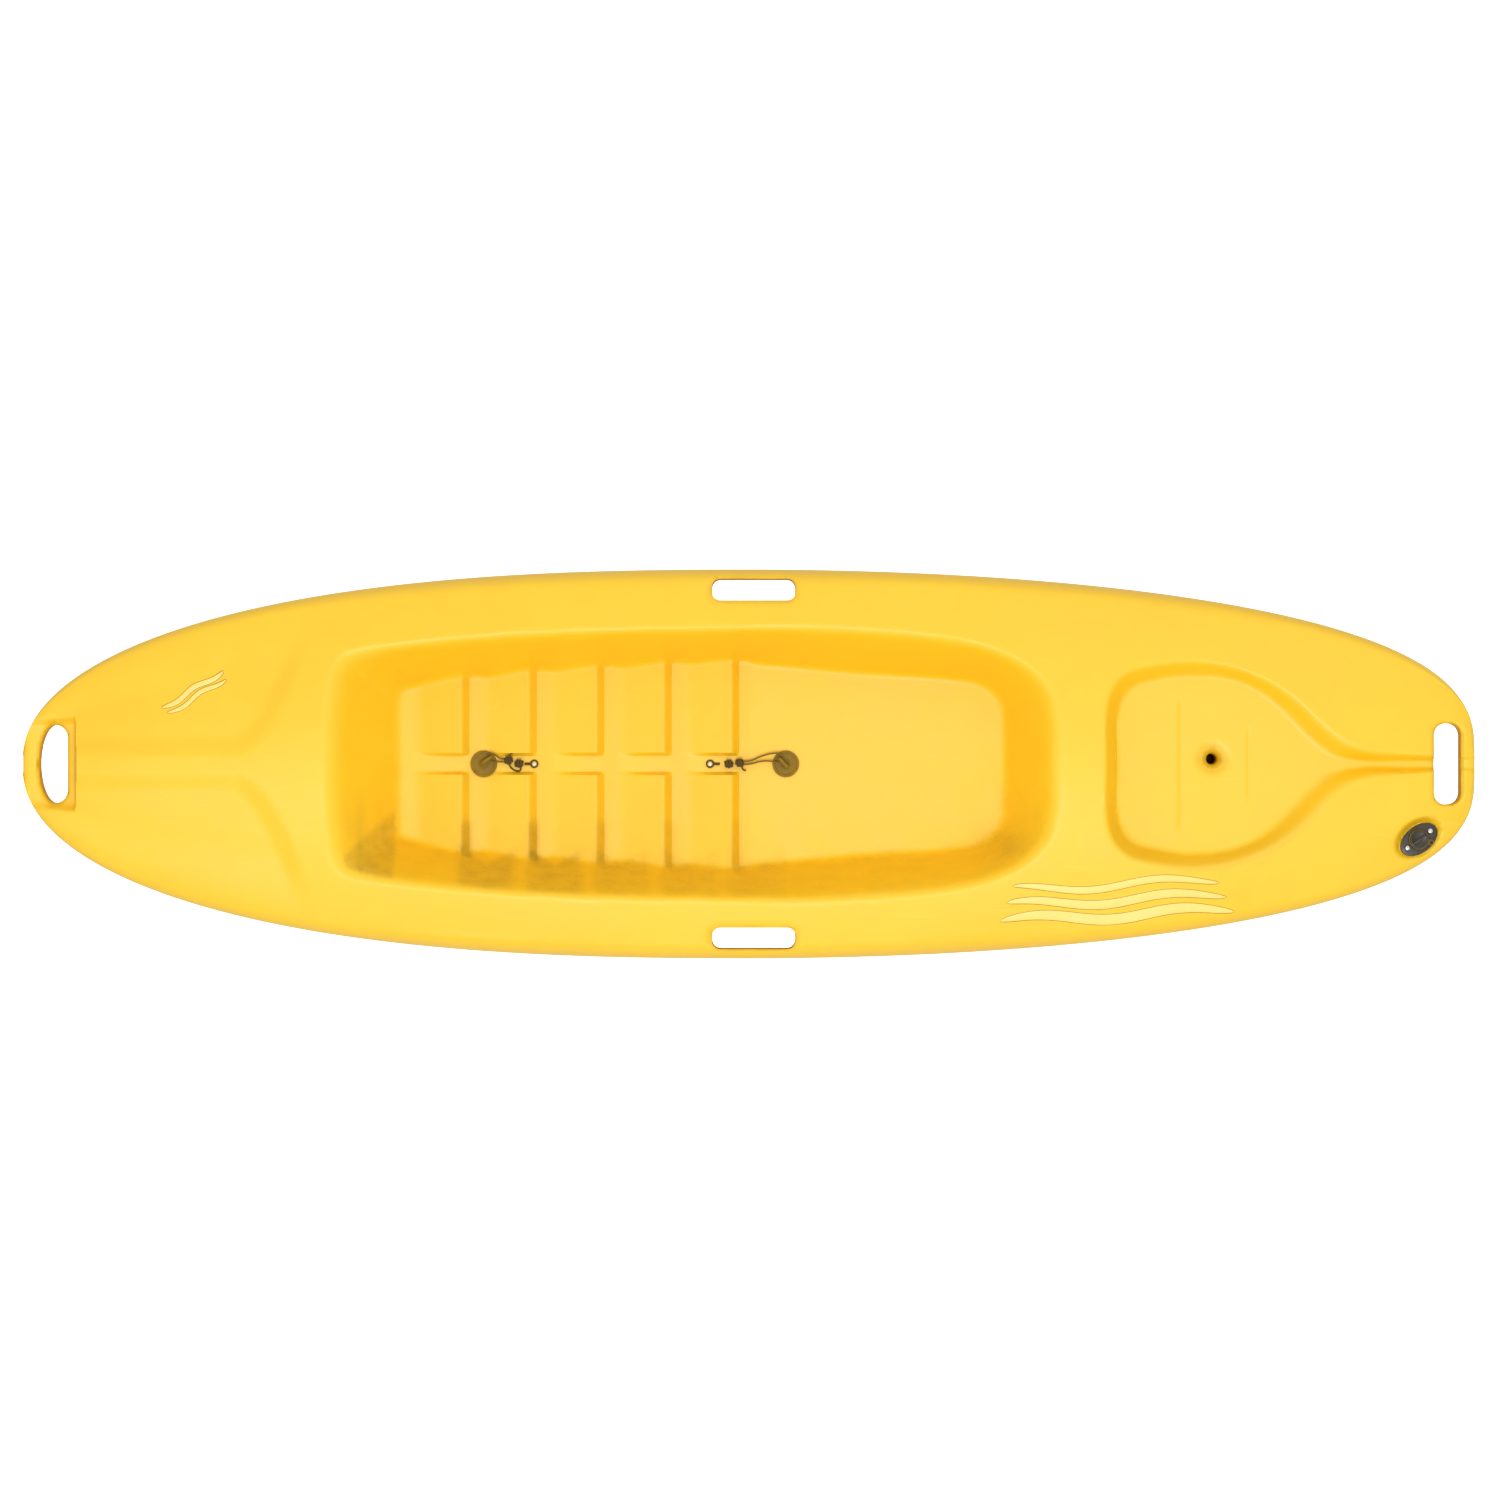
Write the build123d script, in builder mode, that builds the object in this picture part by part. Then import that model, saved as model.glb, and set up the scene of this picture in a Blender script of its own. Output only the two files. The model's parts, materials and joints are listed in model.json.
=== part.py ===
from build123d import *
import os
from math import asin, cos, pi, radians, sin, tan

# A child's sit-on-top kayak, rotationally moulded, in millimetres.
# +X points to the bow, +Y to port and +Z up. The origin is in the middle of the
# plan, on the surface that the two keel rails rest on.

# ---------------------------------------------------------------- moulding
LENGTH = 2000.0
BEAM = 536.0
WALL = 4.0
BOW_APEX = 1001.7  # where the plan curve would close; the moulding is cut flat before it
STERN_APEX = 1003.0
BOW_FULLNESS = (2.5, 2.15)  # exponents of the superellipse that each end follows
STERN_FULLNESS = (2.0, 2.9)

KEEL_Z = 8.0  # flat of the bottom, above the rails' feet
KEEL_HALF = 450.0  # the bottom is level between minus and plus this X
BOW_RISE, BOW_RISE_POWER = 100.0, 2.3
STERN_RISE, STERN_RISE_POWER = 85.0, 2.2
FLAT_SHARE = 0.60  # half-width of the flat bottom, as a share of the half-beam
GUNWALE_Z, BOW_SHEER, STERN_SHEER = 112.0, 30.0, 8.0
SHOULDER_Z, SHOULDER_SHARE = 160.0, 0.925
BOW_SHOULDER_DROP, STERN_SHOULDER_DROP = 4.0, 20.0
CROWN_Z = 204.0
BOW_CROWN_DROP, BOW_CROWN_POWER = 36.0, 6
STERN_CROWN_DROP, STERN_CROWN_POWER = 54.0, 3
STATIONS = (-1.0, -0.996, -0.985, -0.965, -0.93, -0.87, -0.78, -0.65, -0.48, -0.25, 0.0,
            0.25, 0.48, 0.65, 0.78, 0.87, 0.93, 0.965, 0.985, 0.996, 1.0)
ABOVE = 260.0  # a height above everything, where cutters end

RAIL_LENGTH, RAIL_WIDTH, RAIL_Y = 1000.0, 36.0, 85.0

# ------------------------------------------------------------ cockpit well
FLOOR_Z = 55.0
RIM_Z = 185.0
# (x, half-width) round one side of the well, from the front corner to the rear one
RIM_SIDE = ((535, 149), (371, 171), (200, 180), (-75, 184), (-235, 173), (-318, 158))
FLOOR_SIDE = ((470, 106), (300, 127), (150, 136), (10, 140), (-150, 128), (-300, 113))
RIM_ENDS = ((560, 146, 120), (-408, 142, 78))  # (x, corner half-width, end half-width)
FLOOR_ENDS = ((487, 104, 88), (-350, 108, 66))

STEP_FACES = [393 - 93.6 * i for i in range(5)]
STEP_HEIGHT, STEP_FACE_RUN, STEP_RAMP_RUN = 16.0, 10.0, 62.0
CHANNEL_HALF = 12.5
SEAT_CREASE_X, SEAT_END_X, SEAT_RISE = -136.0, -350.0, 12.0

# --------------------------------------------------------------- tank well
TANK_FLOOR_Z = 148.0
TANK_RIM_Z = 188.0
TANK_RIM_SIDE = ((-553, 139), (-608, 149), (-663, 143), (-719, 122), (-756, 98),
                 (-789, 65), (-819, 40), (-848, 27))
TANK_FLOOR_SIDE = ((-560, 117), (-608, 123), (-663, 118), (-704, 101), (-738, 74),
                   (-775, 37), (-804, 15), (-841, 6))
TANK_RIM_ENDS = ((-494, 136, 82), (-962, 20))
TANK_FLOOR_ENDS = ((-507, 112, 66), (-962, 5))
KISS_X, KISS_Y, KISS_TOP_R, KISS_R, KISS_TIP_R = -638.0, -7.0, 14.5, 8.0, 6.0
KISS_CONE, KISS_BOTTOM_Z = 12.0, 28.0

# -------------------------------------------------------------- hand slots
BOW_SLOT = (938.0, 978.0, 54.0)  # straight inner side, furthest outer side, half-width
STERN_SLOT = (-943.0, -981.0, 56.0)
BOW_SLOT_CORNER, STERN_SLOT_CORNER, SIDE_SLOT_CORNER = 18.0, 16.0, 8.0
SIDE_SLOT_X, SIDE_SLOT_Y, SIDE_SLOT = -6.5, 240.0, (115.0, 30.0)
BOW_LEDGE_X, BOW_LEDGE_Z, BOW_LEDGE_HALF = 925.0, 152.0, 62.0

# heights and places where the moulding is divided into its named features
BOTTOM_Z, COCKPIT_WALL_Z, TANK_WALL_Z = 36.0, 73.0, 150.0
FOREDECK_X, AFT_DECK_X = 568.0, -416.0

# ------------------------------------------------------------- foredeck
PANEL_DROP = 8.0  # the two foredeck panels lie this far below the spine and coaming
SPINE_HALF = 13.0
PANEL_FORK = ((930, 13), (695, 13), (671, 33), (640, 81), (619, 130), (598, 190), (570, 275))

# ----------------------------------------------------- scuppers and tethers
SCUPPERS = {"front": 368.0, "rear": -51.0}
BORE_R, TUBE_R, SEAT_R = 15.0, 20.0, 20.5
PLUG_GAP = 0.3
PLUG_FLANGE_R, PLUG_FLANGE_H = 18.5, 4.0
PLUG_BODY_LENGTH, PLUG_TIP_R = 20.0, 13.2
PLUG_DISH_R, PLUG_DISH_DEPTH = 15.0, 1.6
BLADE_LENGTH, BLADE_THICK, BLADE_HEIGHT = 19.0, 4.0, 15.0
EYE_R, EYE_INSET, EYE_HEIGHT = 2.4, 4.4, 8.0
# blade centre offset from the bung's axis, direction of the eye end, and lean of its top
BLADES = {"front": (0.0, -2.4, 214.6, 6.0), "rear": (3.0, -1.4, 315.0, 0.0)}

CORD_R = 1.2
TETHERS = {
    "front": [(340, -3, 61.5), (349, -3, 61.5), (358.3, -3, 63.2), (363.7, -10.8, 63.3),
              (360.2, -15.6, 62.9), (352, -13, 62.3), (346, -7, 61.5), (340, -7, 61.5)],
    "rear": [(6.5, 0.5, 61.5), (-2, 0.5, 61.5), (-14, -3.4, 62), (-28, -4.6, 62.5),
             (-40.5, -1.1, 63.2), (-47.6, -8.2, 63.3), (-45, -14.8, 62.8),
             (-34, -15.2, 62.2), (-18, -11.4, 61.9), (-2, -3.5, 61.5), (6.5, -3.5, 61.5)],
}
EYELETS = {"front": 298.0, "rear": 54.0}
EYELET_R, EYELET_WIRE, SHANK_LENGTH, SHANK_R = 4.6, 1.4, 9.0, 2.0
RIVET_R, RIVET_HEAD_R, RIVET_HEAD_H, RIVET_TAIL_R = 1.9, 3.9, 2.2, 3.0
EYELET_Z = FLOOR_Z + SHANK_R + 0.1
RIVET_COLLAR_R, RIVET_TAIL_H = 2.8, 1.2
WASHER_R, WASHER_H = 7.0, 1.2
KNOT_R, KNOT_LENGTH, KNOT_ROUND = 6.4, 13.0, 4.0
# where each knot of a tether starts, the first where both runs of the cord end
KNOTS = {"front": [(340, -5), (325.5, -0.5)], "rear": [(6.5, -1.5), (21.5, 0)]}

# ------------------------------------------------------------- drain plug
DRAIN_X, DRAIN_Y, DRAIN_TURN = -923.0, 104.0, 37.0
PAD_Z = 141.0
DRAIN_PLANE = Plane(origin=(DRAIN_X, DRAIN_Y, PAD_Z), z_dir=(0, 0, 1),
                    x_dir=(cos(radians(DRAIN_TURN)), sin(radians(DRAIN_TURN)), 0))
DRAIN_FLANGE = (58.0, 37.0, 3.2)
GASKET_H = 1.0
DRAIN_HOLE_R, BARREL_R, DRAIN_BORE_R, BARREL_LENGTH = 13.0, 12.6, 9.3, 14.0
COLLAR_R, COLLAR_H = 14.0, 2.0
SCREW_SPACING, SCREW_R, SCREW_HEAD_R, SCREW_HEAD_H = 39.0, 1.75, 3.6, 2.2
SCREW_LENGTH = 13.0
STEM_R, STEM_LENGTH, CAP_R, CAP_H = 9.0, 14.0, 12.5, 4.0
O_RING_R, O_RING_WIRE = 10.6, 1.2
LEASH_R, LEASH_H, LEASH_LOOP_R, LEASH_TURN = (12.1, 13.8), 1.7, 4.2, 130.0
GRIP = (21.0, 4.0, 7.0)

# ------------------------------------------------------------------- foam
FOAM = {"bow": (640.0, 850.0, 38.0, 150.0), "stern": (-880.0, -690.0, 38.0, 138.0)}
FOAM_CLEAR = 12.0


def half_beam(x):
    """Half-width of the outline at x, from the superellipse of that end."""
    apex, (n, m) = (BOW_APEX, BOW_FULLNESS) if x >= 0 else (STERN_APEX, STERN_FULLNESS)
    return BEAM / 2 * (1 - (abs(x) / apex) ** n) ** (1 / m)


def bottom(x):
    """Height of the flat of the bottom at x, which rises towards both ends."""
    rise, power = (BOW_RISE, BOW_RISE_POWER) if x >= 0 else (STERN_RISE, STERN_RISE_POWER)
    run = max(0.0, (abs(x) - KEEL_HALF) / (LENGTH / 2 - KEEL_HALF))
    return KEEL_Z + rise * run**power


def gunwale(x):
    """Height of the widest line of the section, which is the parting line."""
    return GUNWALE_Z + (BOW_SHEER if x >= 0 else STERN_SHEER) * (2 * x / LENGTH) ** 2


def shoulder(x):
    """Height at which the side turns into the deck."""
    drop = BOW_SHOULDER_DROP if x >= 0 else STERN_SHOULDER_DROP
    return SHOULDER_Z - drop * (2 * x / LENGTH) ** 2


def crown(x):
    """Height of the deck on the centre line."""
    if x >= 0:
        return CROWN_Z - BOW_CROWN_DROP * (2 * x / LENGTH) ** BOW_CROWN_POWER
    return CROWN_Z - STERN_CROWN_DROP * (-2 * x / LENGTH) ** STERN_CROWN_POWER


def across(x):
    """Plane across the kayak at x, with local x to port and local y up."""
    return Plane(origin=(x, 0, 0), x_dir=(0, 1, 0), z_dir=(1, 0, 0))


def hull_body(inset):
    """Closed solid of the moulding's outer form, drawn in by inset on every side."""
    with BuildPart() as body:
        for station in STATIONS:
            x = station * LENGTH / 2
            half = half_beam(x) - inset
            low, side, top = bottom(x) + inset, gunwale(x), crown(x) - inset
            edge_y, edge_z = SHOULDER_SHARE * half, shoulder(x) - inset
            flat = FLAT_SHARE * half
            slope = 2 * (top - edge_z) / edge_y
            with BuildSketch(across(x * (1 - 2 * inset / LENGTH))):
                with BuildLine():
                    Line((-flat, low), (flat, low))
                    for s in (1, -1):
                        Bezier((s * flat, low), (s * (flat + 0.6 * (half - flat)), low),
                               (s * half, side - 0.62 * (side - low)), (s * half, side))
                        reach = 0.6 * (half - edge_y)
                        Bezier((s * half, side), (s * half, side + 0.6 * (edge_z - side)),
                               (s * (edge_y + reach), edge_z - reach * slope),
                               (s * edge_y, edge_z))
                        Bezier((s * edge_y, edge_z), (s * edge_y / 2, top), (0, top))
                make_face()
        loft()
    return body.part


def interpolate(low, high, share):
    """Point that lies share of the way from low to high; over 1 it runs past high."""
    return tuple(a + (b - a) * share for a, b in zip(low, high))


def cockpit_well(grow):
    """Cockpit well with its heel steps left standing, grown outwards and down by grow."""
    with BuildPart() as well:
        for height in (FLOOR_Z - grow, ABOVE):
            share = (height - FLOOR_Z) / (RIM_Z - FLOOR_Z)
            side = [interpolate(a, b, share) for a, b in zip(FLOOR_SIDE, RIM_SIDE)]
            side = [(x, half + grow) for x, half in side]
            front, rear = [interpolate(a, b, share) for a, b in zip(FLOOR_ENDS, RIM_ENDS)]
            front_x, rear_x = front[0] + grow, rear[0] - grow
            with BuildSketch(Plane.XY.offset(height)):
                with BuildLine():
                    Line((front_x, -front[2]), (front_x, front[2]))
                    for s in (1, -1):
                        points = [(x, s * half) for x, half in side]
                        start = (front_x, s * (front[1] + grow))
                        end = (rear_x, s * (rear[1] + grow))
                        Bezier((front_x, s * front[2]), start, points[0])
                        leave = (points[0][0] - start[0], points[0][1] - start[1])
                        arrive = (end[0] - points[-1][0], end[1] - points[-1][1])
                        Spline(*points, tangents=(leave, arrive))
                        Bezier(points[-1], end, (rear_x, s * rear[2]))
                    Line((rear_x, -rear[2]), (rear_x, rear[2]))
                make_face()
        loft()
        floor = FLOOR_Z - grow
        for face_x in STEP_FACES:
            foot = face_x - STEP_FACE_RUN / 2 + grow
            for s in (1, -1):
                with BuildSketch(Plane.XZ.offset(-s * (CHANNEL_HALF + grow))):
                    with BuildLine():
                        Polyline((foot, floor - 1), (foot, floor),
                                 (foot + STEP_FACE_RUN, floor + STEP_HEIGHT),
                                 (foot + STEP_FACE_RUN + STEP_RAMP_RUN, floor),
                                 (foot + STEP_FACE_RUN + STEP_RAMP_RUN, floor - 1), close=True)
                    make_face()
                extrude(amount=-s * BEAM / 2, mode=Mode.SUBTRACT)
        with BuildSketch(Plane.XZ):
            with BuildLine():
                Polyline((SEAT_CREASE_X, floor), (SEAT_END_X, floor + SEAT_RISE),
                         (SEAT_END_X - SEAT_RISE * 5, floor + SEAT_RISE),
                         (SEAT_END_X - SEAT_RISE * 5, floor - 1),
                         (SEAT_CREASE_X, floor - 1), close=True)
            make_face()
        extrude(amount=BEAM / 2, both=True, mode=Mode.SUBTRACT)
        for x in SCUPPERS.values():
            with BuildSketch(Plane.XY.offset(floor)):
                with Locations((x, 0)):
                    Circle(SEAT_R + grow)
            extrude(amount=2 * STEP_HEIGHT)
    return well.part


def tank_well(grow):
    """Rear tank well and the channel that drains it into the stern slot, grown by grow."""
    with BuildPart() as well:
        for height in (TANK_FLOOR_Z - grow, ABOVE):
            share = (height - TANK_FLOOR_Z) / (TANK_RIM_Z - TANK_FLOOR_Z)
            side = [interpolate(a, b, share) for a, b in zip(TANK_FLOOR_SIDE, TANK_RIM_SIDE)]
            side = [(x, half + grow) for x, half in side]
            front, rear = [interpolate(a, b, share)
                           for a, b in zip(TANK_FLOOR_ENDS, TANK_RIM_ENDS)]
            front_x, rear_x, rear_half = front[0] + grow, rear[0], rear[1] + grow
            with BuildSketch(Plane.XY.offset(height)):
                with BuildLine():
                    Line((front_x, -front[2]), (front_x, front[2]))
                    for s in (1, -1):
                        points = [(x, s * half) for x, half in side]
                        start = (front_x, s * (front[1] + grow))
                        Bezier((front_x, s * front[2]), start, points[0])
                        leave = (points[0][0] - start[0], points[0][1] - start[1])
                        arrive = (rear_x - points[-1][0], s * rear_half - points[-1][1])
                        Spline(*points, tangents=(leave, arrive))
                        Line(points[-1], (rear_x, s * rear_half))
                    Line((rear_x, -rear_half), (rear_x, rear_half))
                make_face()
        loft()
    return well.part


def kiss_off(grow):
    """Tapered pit in the tank floor that reaches down to the bottom skin, grown by grow."""
    top, neck = TANK_FLOOR_Z - grow, TANK_FLOOR_Z - grow - KISS_CONE
    with BuildPart() as pit:
        with BuildSketch(Plane.XZ.offset(-KISS_Y)):
            with BuildLine():
                Polyline((KISS_X, ABOVE), (KISS_X + KISS_TOP_R + grow, ABOVE),
                         (KISS_X + KISS_TOP_R + grow, top), (KISS_X + KISS_R + grow, neck),
                         (KISS_X + KISS_TIP_R + grow, KISS_BOTTOM_Z - grow),
                         (KISS_X, KISS_BOTTOM_Z - grow), close=True)
            make_face()
        revolve(axis=Axis((KISS_X, KISS_Y, 0), (0, 0, 1)))
    return pit.part


def scupper_bores(radius, top):
    """Two upright cylinders on the scuppers' axes, from below the bottom up to top."""
    with BuildPart() as bores:
        with BuildSketch(Plane.XY.offset(-KEEL_Z)):
            with Locations(*[(x, 0) for x in SCUPPERS.values()]):
                Circle(radius)
        extrude(amount=top + KEEL_Z)
    return bores.part


def hand_slots(grow):
    """The four slots that go right through the moulding, grown outwards by grow."""
    bow_in, bow_out, bow_half = BOW_SLOT
    stern_in, stern_out, stern_half = STERN_SLOT
    with BuildPart() as slots:
        with BuildSketch(Plane.XY.offset(-KEEL_Z)):
            corner, side = BOW_SLOT_CORNER + grow, bow_half + grow
            middle = bow_in - grow + corner
            with BuildLine():
                Line((bow_in - grow, corner - side), (bow_in - grow, side - corner))
                for s in (1, -1):
                    RadiusArc((middle, s * side), (bow_in - grow, s * (side - corner)),
                              -s * corner)
                EllipticalCenterArc((middle, 0), bow_out + grow - middle, side,
                                    start_angle=-90, arc_size=180)
            make_face()
            with Locations(((stern_in + stern_out) / 2, 0)):
                RectangleRounded(stern_in - stern_out + 2 * grow, 2 * (stern_half + grow),
                                 STERN_SLOT_CORNER + grow)
            with Locations((SIDE_SLOT_X, SIDE_SLOT_Y), (SIDE_SLOT_X, -SIDE_SLOT_Y)):
                RectangleRounded(SIDE_SLOT[0] + 2 * grow, SIDE_SLOT[1] + 2 * grow,
                                 SIDE_SLOT_CORNER + grow)
            if grow:
                with Locations((SIDE_SLOT_X, SIDE_SLOT_Y + SIDE_SLOT[1] / 2),
                               (SIDE_SLOT_X, -SIDE_SLOT_Y - SIDE_SLOT[1] / 2)):
                    Rectangle(SIDE_SLOT[0] + 2 * grow, SIDE_SLOT[1])
        extrude(amount=ABOVE + KEEL_Z)
    return slots.part


def foredeck_panels(grow):
    """Space above the two lowered foredeck panels and the bow ledge, grown by grow."""
    with BuildPart() as space:
        for x in (540, 640, 740, 840, 940, 1020):
            top = crown(min(x, LENGTH / 2)) - PANEL_DROP - grow
            reach = 300.0
            edge = SHOULDER_SHARE * half_beam(min(x, 990))
            fall = (top - shoulder(x) + grow) * (reach / edge) ** 2
            with BuildSketch(across(x)):
                with BuildLine():
                    Bezier((-reach, top - fall), (0, top + fall), (reach, top - fall))
                    Polyline((reach, top - fall), (reach, ABOVE), (-reach, ABOVE),
                             (-reach, top - fall))
                make_face()
        loft(ruled=True)
        with BuildSketch(Plane.XY):
            for s in (1, -1):
                with BuildLine():
                    fork = [(x - grow, s * (half - grow)) for x, half in PANEL_FORK]
                    Line(fork[0], fork[1])
                    Spline(*fork[1:])
                    Polyline(fork[-1], (LENGTH / 2 + 20, s * 280),
                             (LENGTH / 2 + 20, s * (SPINE_HALF - grow)), fork[0])
                make_face()
        extrude(amount=ABOVE + 1, mode=Mode.INTERSECT)
        with BuildSketch(Plane.XY.offset(BOW_LEDGE_Z - grow)):
            with Locations((BOW_LEDGE_X - grow, 0)):
                Rectangle(LENGTH, 2 * BOW_LEDGE_HALF, align=(Align.MIN, Align.CENTER))
        extrude(amount=ABOVE - BOW_LEDGE_Z)
    return space.part


def pockets(grow):
    """Everything that is open from outside, with its walls' thickness grown on when asked."""
    with BuildPart() as space:
        add(cockpit_well(grow))
        add(tank_well(grow))
        add(kiss_off(grow))
        add(hand_slots(grow))
        add(foredeck_panels(grow))
        add(scupper_bores(TUBE_R if grow else BORE_R, FLOOR_Z))
        with BuildSketch(DRAIN_PLANE.offset(-WALL if grow else 0)):
            Ellipse(DRAIN_FLANGE[0] / 2 + 2 + grow, DRAIN_FLANGE[1] / 2 + 2 + grow)
        extrude(amount=ABOVE - PAD_Z)
    return space.part


def small_holes():
    """Round holes for the rivets and for the drain fitting, through the skin alone."""
    with BuildPart() as holes:
        with BuildSketch(Plane.XY.offset(FLOOR_Z - 2 * WALL)):
            with Locations(*[(x, 0) for x in EYELETS.values()]):
                Circle(RIVET_R)
        extrude(amount=3 * WALL)
        with BuildSketch(DRAIN_PLANE.offset(-4 * WALL)):
            Circle(DRAIN_HOLE_R)
            with GridLocations(SCREW_SPACING, 1, 2, 1):
                Circle(SCREW_R)
        extrude(amount=5 * WALL)
    return holes.part


def parting_space():
    """Space above the parting line, with the wells and tubes that hang down from the deck."""
    half, low = LENGTH / 2, GUNWALE_Z
    with BuildPart() as space:
        with BuildSketch(Plane.XZ):
            with BuildLine():
                Bezier((0, low), (half / 2, low), (half, gunwale(half)))
                Bezier((0, low), (-half / 2, low), (-half, gunwale(-half)))
                Polyline((half, gunwale(half)), (half + WALL, gunwale(half)),
                         (half + WALL, ABOVE), (-half - WALL, ABOVE),
                         (-half - WALL, gunwale(-half)), (-half, gunwale(-half)))
            make_face()
        extrude(amount=BEAM, both=True)
        add(cockpit_well(WALL))
        add(kiss_off(WALL))
        add(scupper_bores(TUBE_R, FLOOR_Z))
    return space.part


def box_between(low, high):
    """Box between two corners."""
    with BuildPart() as box:
        with Locations(tuple((a + b) / 2 for a, b in zip(low, high))):
            Box(*[b - a for a, b in zip(low, high)])
    return box.part


def cut_out(region, low=(-LENGTH, -BEAM, -ABOVE), high=(LENGTH, BEAM, ABOVE)):
    """The moulding's share of a region, between the corners low and high."""
    with BuildPart() as share:
        add(moulding.part)
        add(region, mode=Mode.INTERSECT)
        add(box_between(low, high), mode=Mode.INTERSECT)
    return share.part


def keep(part, name):
    """Label a finished part and write its STEP file."""
    part.label = name
    export_step(part, f"parts/{name}.step")


def foam_block(low_x, high_x, half_width, top):
    """Block of foam that fits between the bottom skin and the deck, clear of both."""
    base = max(bottom(low_x), bottom(high_x)) + FOAM_CLEAR
    with BuildPart() as block:
        with BuildSketch(Plane.XY.offset(base)):
            with Locations(((low_x + high_x) / 2, 0)):
                Rectangle(high_x - low_x, 2 * half_width)
        extrude(amount=top - base)
        fillet(block.edges().filter_by(Axis.Z), FOAM_CLEAR)
    return block.part


def blade_plane(name):
    """Upright plane of a bung's pull blade: x towards its eye, y up from the floor's gap."""
    offset_x, offset_y, turn, _ = BLADES[name]
    along = (cos(radians(turn)), sin(radians(turn)), 0)
    return Plane(origin=(SCUPPERS[name] + offset_x, offset_y, FLOOR_Z + PLUG_GAP),
                 x_dir=along, z_dir=(along[1], -along[0], 0))


def scupper_plug(name):
    """Rubber bung: dished flange, tapered body and an upright pull blade with an eye."""
    x, base, lean = SCUPPERS[name], FLOOR_Z + PLUG_GAP, BLADES[name][3]
    top, body_r, dish_r = base + PLUG_FLANGE_H, BORE_R - PLUG_GAP, PLUG_DISH_R
    with BuildPart() as plug:
        with BuildSketch(Plane(origin=(x, 0, 0), x_dir=(1, 0, 0), z_dir=(0, -1, 0))):
            with BuildLine():
                Polyline((0, base - PLUG_BODY_LENGTH), (PLUG_TIP_R, base - PLUG_BODY_LENGTH),
                         (body_r, base - 2), (body_r, base), (PLUG_FLANGE_R, base),
                         (PLUG_FLANGE_R, top - 1), (PLUG_FLANGE_R - 1, top), (dish_r, top),
                         (dish_r - 2, top - PLUG_DISH_DEPTH), (0, top - PLUG_DISH_DEPTH),
                         close=True)
            make_face()
        revolve(axis=Axis((x, 0, 0), (0, 0, 1)))
        half, root = BLADE_LENGTH / 2, PLUG_FLANGE_H - PLUG_DISH_DEPTH - 1
        with BuildSketch(blade_plane(name)):
            with BuildLine():
                Polyline((-half, root), (half, root), (half + lean, BLADE_HEIGHT - 3),
                         (half + lean - 3, BLADE_HEIGHT), (lean - half + 4, BLADE_HEIGHT),
                         (lean - half, BLADE_HEIGHT - 5), close=True)
            make_face()
            with Locations((half - EYE_INSET + lean * EYE_HEIGHT / BLADE_HEIGHT, EYE_HEIGHT)):
                Circle(EYE_R, mode=Mode.SUBTRACT)
        extrude(amount=BLADE_THICK / 2, both=True)
    return plug.part


def corner_radii(points):
    """Arc at each corner of a route: 0.45 of its shorter run over the tangent of half its turn."""
    radii = []
    for before, at, after in zip(points, points[1:], points[2:]):
        arrive, leave = Vector(at) - Vector(before), Vector(after) - Vector(at)
        half_turn = radians(arrive.get_angle(leave)) / 2
        radii.append(0.45 * min(arrive.length, leave.length) / tan(half_turn))
    return radii


def tether_cord(name):
    """Doubled cord, from the first knot through the bung's eye and back to the second."""
    points = TETHERS[name]
    radii = corner_radii(points)
    with BuildPart() as cord:
        with BuildLine() as route:
            FilletPolyline(*points, radius=radii)
        with BuildSketch(Plane(origin=points[0], z_dir=Vector(points[1]) - Vector(points[0]))):
            Circle(CORD_R)
        sweep(path=route.wires()[0])
    length = route.wires()[0].length
    print(f"{name} tether: {length:.1f} mm long, radii {[round(r, 1) for r in radii]}")
    print(f"  section times length {length * pi * CORD_R**2:.1f}, volume {cord.part.volume:.1f}")
    return cord.part


def knots(name):
    """The two overhand knots of a tether, each a short rounded barrel towards the eyelet."""
    facing = 1 if EYELETS[name] > SCUPPERS[name] else -1
    with BuildPart() as pair:
        for x, y in KNOTS[name]:
            with BuildSketch(Plane(origin=(x, y, TETHERS[name][0][2]), z_dir=(facing, 0, 0))):
                Circle(KNOT_R)
            extrude(amount=KNOT_LENGTH)
        fillet(pair.edges().filter_by(GeomType.CIRCLE), KNOT_ROUND)
    return pair.part


def eyelet(name):
    """Ring that the tether ends in, with its whipped shank towards the knots."""
    x, facing = EYELETS[name], 1 if SCUPPERS[name] > EYELETS[name] else -1
    with BuildPart() as ring:
        with BuildSketch(Plane(origin=(x, 0, EYELET_Z), x_dir=(1, 0, 0), z_dir=(0, -1, 0))):
            with Locations((EYELET_R, 0)):
                Circle(EYELET_WIRE)
        revolve(axis=Axis((x, 0, EYELET_Z), (0, 0, 1)))
        with BuildSketch(Plane(origin=(x + facing * EYELET_R, 0, EYELET_Z),
                               z_dir=(facing, 0, 0))):
            Circle(SHANK_R)
        extrude(amount=SHANK_LENGTH)
    return ring.part


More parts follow.
